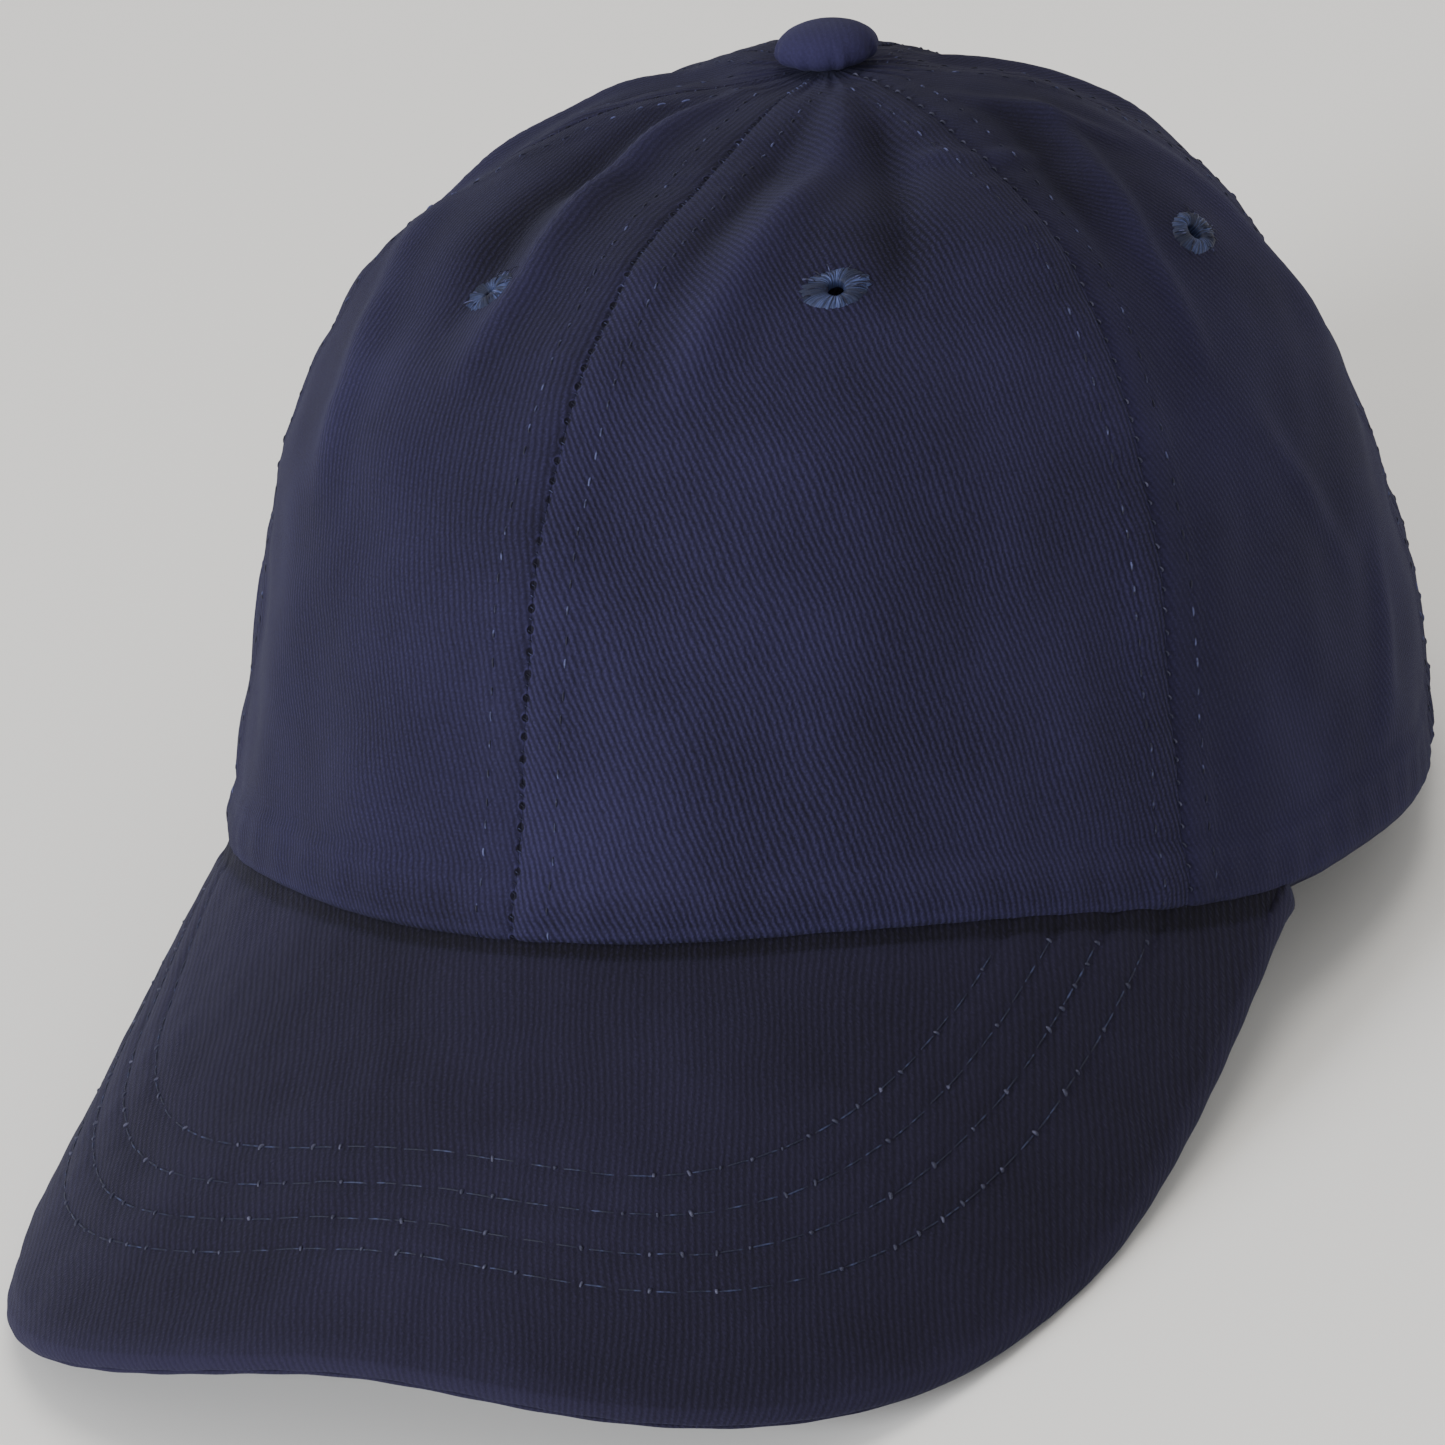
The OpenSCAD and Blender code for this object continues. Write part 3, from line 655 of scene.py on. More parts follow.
class Panel:
    """One crown panel as a fine grid: rows from the rim up, columns from one seam to the next."""

    def __init__(self, name, t0, t1):
        self.name, self.t0, self.t1 = name, t0, t1
        # columns close together beside the seams, in millimetres across a panel of this width
        edge = np.array([0, 0.12, 0.25, 0.42, 0.65, 1.0, 1.5, 2.2, 3.0, 3.8, 4.3, 4.7, 5.1])
        edge = np.concatenate([edge, [5.5, 5.9, 6.5, 7.3, 8.2, 9.3, 10.8]])
        width = 88.0
        cols = np.concatenate([edge, np.linspace(12.4, width - 12.4, 38), width - edge[::-1]]) / width
        if abs(t0) == 180 or abs(t1) == 180:
            mouth = (150.58 - SEAM_2) / (180 - SEAM_2)
            extra = mouth + np.array([-0.008, -0.004, 0.0, 0.002, 0.004, 0.007, 0.010, 0.014, 0.018])
            if t0 < 0:
                extra = 1 - extra
            cols = np.unique(np.concatenate([cols[np.abs(cols - extra.mean()) > 0.018], extra]))
        self.u = cols
        self.t = t0 + (t1 - t0) * cols
        fine = np.array([0, 0.3, 0.6, 1.0, 1.5, 2.1, 2.8, 3.6, 4.5, 5.4, 6.1, 6.7, 7.3, 8.0, 9.0]) / 172
        self.v = np.concatenate([fine, np.linspace(10.2 / 172, 1, 136)])
        self.low = arch_low(self.t)
        self.s = self.low[None, :] + (TOP_SHARE - self.low[None, :]) * self.v[:, None]
        self.tt = tt = np.broadcast_to(self.t, self.s.shape)
        base, normal = crown(tt, self.s), crown_normal(tt, self.s)
        self.from_0 = run_along(base.swapaxes(0, 1)).T
        room = self.from_0[:, -1:]
        self.from_1 = room - self.from_0
        climb = run_along(base)
        folds = fold_height(base.reshape(-1, 3)).reshape(self.s.shape)
        gap = self.from_edge(base, climb)
        calm = smooth(gap / 16) * 0.9 + 0.1
        soft = (0.55 * ripple(base, 42, 11) + 0.16 * ripple(base, 15, 12)) * calm
        near_seam = np.minimum(self.from_0, self.from_1)
        keep = 1 - 0.6 * bump(near_seam, 0, 5)
        folds = np.where(folds < 0, folds * rise(near_seam, 2, 9), folds)
        slack = 0.5 * rise(self.s, 0.5, 0.3) + 0.7 * bump(tt, -68, 34) * smooth(self.s / 0.15)
        slack += np.where(tt < 0, 0.45, 1.6) * bump(self.s, 0.70, 0.17) * rise(np.abs(tt), 45, 30)
        for where, dent, sweep, high, deep in DENTS:
            slack += dent * bump(tt, where, sweep) * bump(self.s, high, deep)
        slack = slack * fall(self.s, 0.86, 0.08)
        height = folds * keep + soft - slack
        height += seam_shape(self.from_0, climb[:, :1], t0, room)
        height += seam_shape(self.from_1, climb[:, -1:], t1, room)
        height += self.rim(gap)
        top = rise(self.s, 0.90, 0.08)
        gather = np.sin(tt * DEG * 22 + 1.3) + 0.6 * np.sin(tt * DEG * 37 + 0.4)
        height = height * (1 - 0.55 * top) + 0.11 * gather * bump(self.s, 0.93, 0.035)
        self.base, self.n = base, normal
        self.p = base + normal * height[..., None]
        self.p[..., 2] -= 1.1 * bump(np.abs(tt), 98, 22) * fall(climb, 0, 22)
        self.uv = self.cloth_map(np.argmin(np.abs(cols - 0.5)))
        nearer = self.from_0 < self.from_1
        self.seam_gap, self.seam_run = near_seam, np.where(nearer, climb[:, :1], climb[:, -1:])
        ends = [SEAM_HOLES.get(seam, OTHER_HOLES) for seam in (t0, t1)]
        self.holes = np.where(nearer, *ends) * fall(self.s, 0.8, 0.1)
        # Colour over the folds: crests and raised seams paler, hollows darker, partly wear and partly
        # painted highlight and painted shade.
        fold_wear_and_painted_light = np.clip(folds, -2, 2) * 0.12 + np.clip(height - soft - folds * keep, 0, 1) * 0.10
        # Painted shade along the crown's lower edge over the visor, where it tucks under; a paler band
        # lies just above the edge.
        join_painted_shade = 0.6 * fall(climb, 0, 1.2) + 0.10 * fall(climb, 5, 3)
        self.wear = fold_wear_and_painted_light + 0.14 * bump(gap, 1.8, 0.8) - self.over_visor() * join_painted_shade
        # Painted shade: the upper crown darker where it faces up, and the panel that faces the key lamp
        # darker.
        self.wear = self.wear - 0.18 * rise(self.s, 0.52, 0.16) - PANEL_PAINTED_SHADE.get(name, 0.0)
        strong = RIB_STRENGTH.get(name, 0.6)
        self.ribs = strong * (1 - 0.45 * rise(self.s, 0.5, 0.3))

    def from_edge(self, base, climb):
        """The distance from the panel's free lower edge, which turns up at the arch's end."""
        if self.low.max() == 0:
            return climb
        edge = base[0]
        gap = np.full(climb.shape, 1e9)
        for a, b in zip(edge[:-1], edge[1:]):
            share = np.clip(((base - a) @ (b - a)) / ((b - a) @ (b - a)), 0, 1)
            gap = np.minimum(gap, np.linalg.norm(base - a - share[..., None] * (b - a), axis=-1))
        return gap

    def cloth_map(self, middle):
        """Places on the flat cloth: across from the middle, and up along the middle."""
        level = np.linspace(0, TOP_SHARE, 140)
        whole = crown(*np.broadcast_arrays(self.t, level[:, None]))
        across = np.cumsum(np.linalg.norm(np.diff(whole, axis=1, prepend=whole[:, :1]), axis=-1), axis=1)
        upward = np.cumsum(np.linalg.norm(np.diff(whole, axis=0, prepend=whole[:1]), axis=-1), axis=0)
        across = across - across[:, middle : middle + 1]
        upward = upward * 0.3 + upward[:, middle : middle + 1] * 0.7

        def at_share(grid):
            return np.stack([np.interp(s, level, g) for s, g in zip(self.s.T, grid.T)], -1)

        return np.stack([at_share(across), at_share(upward)], -1)

    def over_visor(self):
        return fall(np.abs(self.tt), VISOR_ANGLE, 6)

    def rim(self, climb):
        """The turned lower edge, and the ridge where the sweatband is sewn on."""
        over_visor = self.over_visor()
        shape = -(0.9 + 0.9 * over_visor) * fall(climb, 0, 1.7) ** 1.5
        shape += (0.25 + 0.35 * over_visor) * bump(climb, 4.4, 2.8)
        shape -= 0.45 * over_visor * fall(climb, 0, 7.0)
        shape += 0.24 * bump(climb, 8.2, 1.0) - 0.24 * bump(climb, 10.2, 1.3)
        beat = self.tt * 1.4 + 0.6 * np.sin(self.tt * 0.13)
        shape += 0.13 * np.sin(beat) * bump(climb, 4.5, 4.0)
        return shape

    def at(self, t, s):
        """The made surface and its normal at an angle and a share of the way up."""
        t, s = np.broadcast_arrays(np.asarray(t, float), np.asarray(s, float))
        u = (t - self.t0) / (self.t1 - self.t0)
        col = np.interp(u, self.u, np.arange(len(self.u)))
        low = np.interp(u, self.u, self.low)
        row = np.interp((s - low) / (TOP_SHARE - low), self.v, np.arange(len(self.v)))
        return self.sample(row, col)

    def sample(self, row, col):
        """The surface and its normal between rows and columns of the grid."""
        r = np.clip(np.floor(row).astype(int), 0, len(self.v) - 2)
        c = np.clip(np.floor(col).astype(int), 0, len(self.u) - 2)
        fr, fc = (row - r)[..., None], (col - c)[..., None]

        def lerp(g):
            left = g[r, c] * (1 - fr) + g[r + 1, c] * fr
            return left * (1 - fc) + (g[r, c + 1] * (1 - fr) + g[r + 1, c + 1] * fr) * fc

        return lerp(self.p), unit(lerp(self.n))

    def row_beside(self, side, distance):
        """Points at a distance from one of the panel's seams, from the rim up."""
        rows = np.arange(len(self.v))
        gap = self.from_0 if side == 0 else self.from_1[:, ::-1]
        cols = np.array([np.interp(distance, gap[r], np.arange(len(self.u))) for r in rows])
        room = self.from_0[rows, -1]
        ok = room > 2 * distance + 1.0
        if side == 1:
            cols = len(self.u) - 1 - cols
        return self.sample(rows[ok].astype(float), cols[ok])

    def build(self, mat, slot):
        hole = crown(*EYELETS["eyelet_" + self.name.replace("_panel_", "_")][:2])
        mid = (self.base[:-1, :-1] + self.base[1:, 1:] + self.base[:-1, 1:] + self.base[1:, :-1]) / 4
        keep = np.linalg.norm(mid - hole, axis=-1) > EYELET_OPENING
        faces = grid_faces(len(self.v), len(self.u), keep=keep)
        more = {"seam_gap": self.seam_gap, "seam_run": self.seam_run, "seam_holes": self.holes}
        looks = {"wear": self.wear, "ribs": self.ribs, "more": more}
        cover(self.name, self.p, faces, mat, slot, uv=self.uv, thick=TWILL, **looks)


PANELS = {
    "front_panel_left": (0.0, SEAM_1), "front_panel_right": (-SEAM_1, 0.0),
    "side_panel_left": (SEAM_1, SEAM_2), "side_panel_right": (-SEAM_2, -SEAM_1),
    "back_panel_left": (SEAM_2, 180.0), "back_panel_right": (-180.0, -SEAM_2),
}
panels = {name: Panel(name, *ends) for name, ends in PANELS.items()}
for panel in panels.values():
    panel.build(crown_cloth, "crown_twill")


# ---- Stitches
class Stitches:
    """Short lengths of thread that come up out of the cloth and go down again."""

    def __init__(self):
        self.points, self.faces, self.count = [], [], 0

    def add(self, path, normals, pitch, length, radius, lift, sink, seed, sway=0.0):
        far = run_along(path)
        rng = np.random.default_rng(seed)
        starts = np.arange(min(pitch * 0.4, (far[-1] - length) / 2), far[-1] - length, pitch)
        starts = starts + rng.uniform(-0.12, 0.12, len(starts)) * pitch
        sides, rings = 6, 6
        q = np.linspace(0, 1, rings)
        for a in starts:
            size = min(length * rng.uniform(0.9, 1.08), far[-1])
            where = min(max(a, 0.0), far[-1] - size) + q * size
            p, n = (np.stack([np.interp(where, far, g) for g in line.T], -1) for line in (path, normals))
            n = unit(n)
            side = np.cross(n, unit(np.gradient(p, axis=0)))
            high = -sink + (lift + sink) * np.sin(np.pi * q) ** 0.55
            p = p + n * high[:, None] + side * (rng.uniform(-0.12, 0.12) + sway * (q - 0.5))[:, None]
            around = np.arange(sides) * 2 * np.pi / sides
            thick = radius * (0.75 + 0.25 * np.sin(np.pi * q))[:, None, None]
            out = np.cos(around)[:, None] * n[:, None] + np.sin(around)[:, None] * side[:, None]
            ring = p[:, None] + thick * out
            self.points.append(ring.reshape(-1, 3))
            self.faces.append(grid_faces(rings, sides, closed=True) + self.count)
            self.count += rings * sides

    def build(self, name, mat, slot="eyelet_thread", body="crown"):
        make(name, np.concatenate(self.points), np.concatenate(self.faces), mat, body=body, slot=slot)


seam_rows, ladder, bright = Stitches(), Stitches(), Stitches()
for i, (name, panel) in enumerate(panels.items()):
    for side in (0, 1):
        path, normals = panel.row_beside(side, STITCH_ROW)
        seed = 100 + 2 * i + side
        seam_rows.add(path, normals, STITCH_PITCH, 1.7, radius=0.14, lift=0.09, sink=0.30, seed=seed)
    path, normals = panel.row_beside(0, 0.02)
    path, normals = path[:-4], normals[:-4]
    if panel.t0 == SEAM_1:
        threads, pitch, size = bright, LADDER_PITCH, 0.9
        looks = {"radius": 0.15, "lift": 0.30, "sink": 0.2, "sway": 0.5}
    else:
        threads, pitch, size = ladder, LADDER_PITCH / 2, 0.45
        high = 0.22 if abs(panel.t0) < 100 else 0.12
        looks = {"radius": 0.085, "lift": high, "sink": 0.1, "sway": 0.8}
    threads.add(path, normals, pitch, size, seed=200 + i, **looks)
seam_rows.build("topstitching", seam_thread)
ladder.build("seam_threads", seam_thread)
bright.build("seam_threads_left", tuft_thread)


# ---- Visor
# Rows of stitches: half widths on the wearer's left and right, and depth
ROWS = [(70.0, 74.5, 123.2), (66.0, 71.0, 118.7), (62.0, 67.0, 113.7), (58.0, 63.0, 108.6)]


def row_distance(xy, row):
    """About how far a point in plan lies outside a row of stitches, in millimetres."""
    left, right, depth = row
    wide = np.where(xy[..., 0] > 0, left, right)
    x, y = np.abs(xy[..., 0]) / wide, np.maximum(EAR[1] - xy[..., 1], 0.01) / depth
    f = x**VISOR_POWER + y**VISOR_POWER
    slope = VISOR_POWER * np.hypot(x ** (VISOR_POWER - 1) / wide, y ** (VISOR_POWER - 1) / depth)
    return (f - 1) / np.maximum(slope, 1e-4)


def visor_relief(xy, p):
    """Height of the visor's cloth above the plain surface: waves, rows of stitches, the rim's seam."""
    shape = 0.10 * ripple(p, 26, 31) + 0.05 * ripple(p, 9, 32) + 0.75 * bump(xy[..., 0], -68, 14)
    for row in ROWS:
        d = row_distance(xy, row)
        shape = shape - 0.22 * bump(d, 0, 0.6) + 0.09 * bump(np.abs(d), 2.6, 1.6)
    return shape - 0.4 * bump(beyond_rim(xy), 0.3, 0.9)


def face_height(upper, shape):
    """Height of one face of the visor, whose under side has a weaker relief."""
    return shape if upper else -VISOR_THICK - shape * 0.8


def visor_columns(columns):
    """Angles evenly spaced along the visor's outer edge."""
    share = np.linspace(-1, 1, 8001)
    a = 90 * np.sign(share) * (1 - (1 - np.abs(share)) ** 3)
    along = run_along(outline(a))
    return np.interp(np.linspace(0, along[-1], columns), along, a)


def visor_sheet(upper, columns, rows):
    """Points from the inner edge to the outermost line of the rolled edge."""
    a = visor_columns(columns)
    inner, outer = inner_edge(a), outline(a)
    tangent = np.gradient(outer, axis=0)
    outward = unit(np.stack([tangent[:, 1], -tangent[:, 0]], -1))
    wide = smooth((np.abs(outer[:, 0]) - 60) / 12) * (0.08 + 0.5 * smooth((outer[:, 1] + 125) / 30))
    outer = outer + outward * wide[:, None]
    outer[:, 1] -= 1.1 * bump(np.hypot(outer[:, 0] + 66, outer[:, 1] + 140), 0, 22)
    room = np.linalg.norm(outer - inner, axis=-1)
    hold = 0.38 * fall(room, 1, 5)
    roll = VISOR_THICK / 2
    flat_end = outer - outward * roll
    points, uv, wear = [], [], []
    if not upper:
        # the cover's edge is turned up over the board's inner edge
        inward = -unit(inner)
        for drop in (0.3, 1.0, 2.0, VISOR_THICK - 0.25, VISOR_THICK - 0.03):
            tucked = inner + inward * min(0.35, VISOR_THICK - drop)
            points.append(visor_point(tucked, np.full(columns, -drop), 1.0)[0])
            uv.append(inner + inward * (VISOR_THICK - drop))
            wear.append(np.full(columns, -0.1))
    for w in np.linspace(0, 1, rows):
        xy = inner + (flat_end - inner) * w
        p, _ = visor_point(xy)
        shape = visor_relief(xy, p)
        edge = np.maximum((1 - w) * room, 0) + roll
        shape = shape * rise(edge, 1.5, 3)
        points.append(visor_point(xy, face_height(upper, shape), 1 - w + w * hold)[0])
        uv.append(xy)
        # painted shade on the visor just outside the crown's edge
        join_painted_shade = 0.4 * fall(beyond_rim(xy), 0.2, 0.8)
        # paler towards the rolled edge, more on the wearer's right where the key lamp is, and paler on
        # the relief's crests: partly wear, partly painted highlight
        worn_and_painted_light = 0.30 * bump(edge, 1.5, 2.2) * (0.5 + 0.5 * smooth((20 - xy[:, 0]) / 60))
        wear.append(worn_and_painted_light + np.clip(shape, 0, 1) * 0.2 - join_painted_shade)
    for angle in np.linspace(0, 90, 9)[1:]:
        xy = outer - outward * roll * (1 - math.sin(angle * DEG))
        drop = roll * (1 - math.cos(angle * DEG))
        waves = 0.10 * np.sin(np.arange(columns) * 0.9) * math.sin(angle * DEG)
        above = np.full(columns, -drop if upper else -VISOR_THICK + drop) + waves * (1 if upper else -1)
        p, _ = visor_point(xy, above, hold)
        if angle > 80:
            centre = visor_point(flat_end, np.full(columns, -roll), hold)[0]
            p = p + unit(centre - p) * 0.35
        points.append(p)
        uv.append(xy + outward * drop)
        # the rolled edge is paler, more on the wearer's right where the key lamp is: partly wear, partly
        # painted highlight
        wear.append(0.30 + 0.30 * smooth((10 - xy[:, 0]) / 70))
    points, uv, wear = np.array(points), np.array(uv), np.array(wear)
    ends = []
    for c in (0, -1):
        # the sheet's end is folded to the middle of the visor's thickness
        end = points[:, c]
        folded = end - visor_normal(*end[:, :2].T) * (roll if upper else -roll)
        first = len(points) - rows - 8
        folded[:first] = folded[first]
        folded[-8:] = folded[-9] + (end[-1] - folded[-9]) * (np.arange(1, 9) / 8)[:, None]
        ends.append(folded[:, None])
    points = np.concatenate([ends[0], points, ends[1]], axis=1)
    uv, wear = (np.concatenate([g[:, :1], g, g[:, -1:]], axis=1) for g in (uv, wear))
    return points, uv, wear


for name, upper, rows in (("visor_top_cover", True, 92), ("visor_under_cover", False, 60)):
    points, uv, wear = visor_sheet(upper, 300, rows)
    faces = grid_faces(*points.shape[:2])
    if upper:
        faces = faces[:, ::-1]
    cover(name, points, faces, visor_cloth, "visor_twill", uv=uv, wear=wear, thick=0.6)

VISOR_PITCH = 4.3
# A pitch longer than the path, so that it gets one thread only
ALONE = 9.0
visor_rows, tufts = Stitches(), Stitches()
for upper in (True, False):
    for i, (wide_left, wide_right, depth) in enumerate(ROWS):
        a = np.linspace(-90, 90, 1601)
        xy = outline(a, np.where(a > 0, wide_left, wide_right), depth)
        xy = xy[beyond_rim(xy) > (0.3 if upper else -1.5)]
        p, n = visor_point(xy)
        path = visor_point(xy, face_height(upper, visor_relief(xy, p)))[0]
        seed = 300 + 10 * i + upper
        facing = n if upper else -n
        visor_rows.add(path, facing, VISOR_PITCH, 4.05, radius=0.13, lift=0.06, sink=0.14, seed=seed)
        if not upper:
            continue
        far = run_along(path)
        rng = np.random.default_rng(340 + i)
        for k, here in enumerate(np.arange(1.6, far[-1] - 2, VISOR_PITCH)):
            if rng.uniform() < 0.4:
                continue
            j = np.searchsorted(far, here)
            forward = unit(path[j + 1] - path[j - 1])
            slant = np.cross(n[j], forward) + forward * rng.uniform(-0.5, 0.5)
            tuft = path[j] + slant * np.linspace(-1, 1, 5)[:, None] * rng.uniform(0.3, 0.65)
            size = np.linalg.norm(tuft[-1] - tuft[0]) * 0.92
            looks = {"radius": rng.uniform(0.16, 0.28), "lift": 0.16, "sink": 0.12}
            tufts.add(tuft, np.tile(n[j], (5, 1)), ALONE, size, seed=1000 + 100 * i + k, **looks)
visor_rows.build("visor_stitching", visor_thread)
tufts.build("visor_stitch_tufts", tuft_thread)


# ---- Button
def button():
    """The covered button: a dome with pleats round it and its edge turned in."""
    radius, dome_height, base = 7.2, 4.0, 1.75
    around, steps = 96, 26
    phi = np.linspace(0, 2 * np.pi, around, endpoint=False)
    top = crown(0.0, 1.0)
    a = np.linspace(math.pi / 2, 0, steps)
    dome = np.stack([radius * np.cos(a) ** 0.8, base + dome_height * np.sin(a) ** 0.85], -1)
    turned_in = np.array([(-0.15, -0.4), (-0.6, -0.9), (-1.6, -1.4), (-5.8, -1.5)]) + (radius, base)
    profile = np.concatenate([dome, turned_in])
    points, uv = [], []
    for i, ((r, z), far) in enumerate(zip(profile, run_along(profile))):
        share = min(i / steps, 1)
        pleat = 0.16 * share**3 * (np.sin(phi * 13) + 0.6 * np.sin(phi * 21 + 1))
        dent = 0.15 * np.sin(phi * 2 + 0.6) * share
        rr = r + pleat + dent
        high = z + 0.1 * np.cos(phi * 3) * share
        points.append(np.stack([rr * np.cos(phi), rr * np.sin(phi), high], -1) + top)
        uv.append(np.stack([far * np.cos(phi), far * np.sin(phi)], -1))
    faces = grid_faces(len(profile), around, closed=True)[:, ::-1]
    points, uv = np.array(points), np.array(uv)
    cover("button_cover", points, faces, button_cloth, "crown_twill", uv=uv, wear=0.30)


button()


# ---- Eyelets
def eyelet_ground(name, t, s):
    """The panel an eyelet is in, and millimetres per degree and per share of the way up."""
    per_t = np.linalg.norm(crown(t + 0.5, s) - crown(t - 0.5, s))
    per_s = np.linalg.norm(crown(t, s + 0.005) - crown(t, s - 0.005)) / 0.01
    return panels[name.replace("eyelet_", "").replace("_", "_panel_")], per_t, per_s


HOLE_RADIUS, EYELET_RADIUS = 1.25, 5.1


def eyelet(name, t, s, squeeze, seed):
    """A ring of threads sewn round a hole, squeezed in height by a share."""
    panel, per_t, per_s = eyelet_ground(name, t, s)
    rng = np.random.default_rng(seed)
    around, threads = 216, 44
    phi = np.linspace(0, 2 * np.pi, around, endpoint=False)
    ridge = np.abs(np.sin(phi * threads / 2)) ** 0.7
    which = np.floor(phi / (2 * np.pi) * threads).astype(int)
    reach = EYELET_RADIUS + rng.uniform(-0.45, 0.35, threads)[which] * ridge
    high = rng.uniform(-0.08, 0.10, threads)[which]
    twist = rng.uniform(-0.03, 0.03, threads)[which]
    points, uv = [], []
    profile = [(HOLE_RADIUS, -1.6), (1.22, -0.6), (1.28, -0.1), (1.5, 0.2), (2.0, 0.42), (2.8, 0.48)]
    profile += [(3.6, 0.40), (4.3, 0.28), (4.8, 0.08), (EYELET_RADIUS, -0.25)]
    for r, z in profile:
        out = (r - HOLE_RADIUS) / (EYELET_RADIUS - HOLE_RADIUS)
        rr = r + (reach - EYELET_RADIUS) * out**2 + rng.uniform(-0.02, 0.02, around)
        angle = phi + twist * out
        flatten = 1 - (1 - squeeze) * min(max(out, 0) * 1.5, 1)
        p, n = panel.at(t + rr * np.cos(angle) / per_t, s + rr * np.sin(angle) * flatten / per_s)
        lift = z * 0.8 + (0.13 * ridge + high) * math.sin(math.pi * min(max(out, 0.08), 1)) ** 0.5
        points.append(p + n * lift[:, None])
        uv.append(np.stack([np.abs(phi - np.pi) * 10 + seed, np.full(around, r)], -1))
    faces = grid_faces(len(profile), around, closed=True)
    facing = np.cross(points[5][1] - points[5][0], points[6][0] - points[5][0])
    if np.dot(facing, panel.at(t, s)[1]) <= 0:
        faces = faces[:, ::-1]
    cover(name, np.array(points), faces, eyelet_thread, "eyelet_thread", uv=np.array(uv))


loose = Stitches()
for i, (name, (t, s, squeeze)) in enumerate(EYELETS.items()):
    eyelet(name, t, s, squeeze, 400 + i)
    rng = np.random.default_rng(450 + i)
    panel, per_t, per_s = eyelet_ground(name, t, s)
    for k in range(16):
        angle, start = rng.uniform(0, 2 * np.pi), rng.uniform(1.6, 3.6)
        r = np.linspace(start, start + rng.uniform(1.4, 2.6), 5)
        flatten = squeeze * 0.5 + 0.5
        path, n = panel.at(t + r * np.cos(angle) / per_t, s + r * np.sin(angle) * flatten / per_s)
        size, high = np.linalg.norm(path[-1] - path[0]) * 0.9, rng.uniform(0.5, 0.62)
        loose.add(path, n, ALONE, size, radius=0.09, lift=high, sink=-0.25, seed=460 + 20 * i + k)
loose.build("eyelet_loose_threads", seam_thread)


# ---- Inside: tapes, binding, sweatband, label
def both(across, up):
    """A weave map from two rows, columns or grids of lengths."""
    return np.stack(np.broadcast_arrays(across, up), -1)


def share_above(t, height):
    """The share of the way up that lies at a height above the rim."""
    return np.degrees(np.arctan2(height, CROWN_HEIGHT - rim_height(t))) / 90


def cloth_height(t, s):
    """How far the made crown lies outside the plain one."""
    turned = np.where(t > 180, t - 360, np.where(t < -180, t + 360, t))
    height = np.zeros(t.shape)
    for name, (t0, t1) in PANELS.items():
        here = (turned >= t0) & (turned < t1 + 1e-6)
        if here.any():
            made, n = panels[name].at(turned[here], s[here])
            height[here] = ((made - crown(turned[here], s[here])) * n).sum(-1)
    return height


def tape(name, seam, start):
    """The tape over a seam's turned edges, with a row of stitches along each side."""
    s = np.linspace(start, 0.972, 70)
    base = crown(seam, s)
    top = crown(0.0, 1.0)
    reach = np.hypot(base[:, 0] - top[0], base[:, 1] - top[1])
    half = np.minimum(26, 8 / reach * 180 / np.pi)
    across = np.linspace(-1, 1, 17)
    t = seam + half[:, None] * across[None, :]
    ss = np.broadcast_to(s[:, None], t.shape)
    p, n = crown(t, ss), crown_normal(t, ss)
    along = run_along(base)
    off = np.abs(across)[None, :]
    dip = 0.18 * bump(off, 0.75, 0.1) + 0.05 * np.sin(along[:, None] * 1.2)
    depth = 1.60 - dip + 0.25 * (off < 0.3) * (1 - off / 0.3)
    depth = depth - np.minimum(cloth_height(t, ss), 0)
    p = p - n * depth[..., None]
    uv = both(across * 8, along[:, None])
    cover(name, p, grid_faces(*t.shape), tape_cloth, "seam_tape", uv=uv, thick=-0.35)
    for side in (-0.76, 0.76):
        col = np.interp(side, across, np.arange(17))
        c = int(col)
        path = p[:, c] * (1 - col + c) + p[:, c + 1] * (col - c)
        looks = {"radius": 0.17, "lift": 0.3, "sink": 0.1}
        inner_rows.add(path[:62], -n[:62, c], STITCH_PITCH, 2.6, seed=int(seam) + 900, **looks)


inner_rows = Stitches()
for name, seam, start in (
    ("front", 0.0, 0.03), ("front_left", SEAM_1, 0.03), ("front_right", -SEAM_1, 0.03),
    ("rear_left", SEAM_2, 0.03), ("rear_right", -SEAM_2, 0.03), ("back", 180.0, 0.385),
):
    tape("seam_tape_" + name, seam, start)
inner_rows.build("tape_stitching", seam_thread)


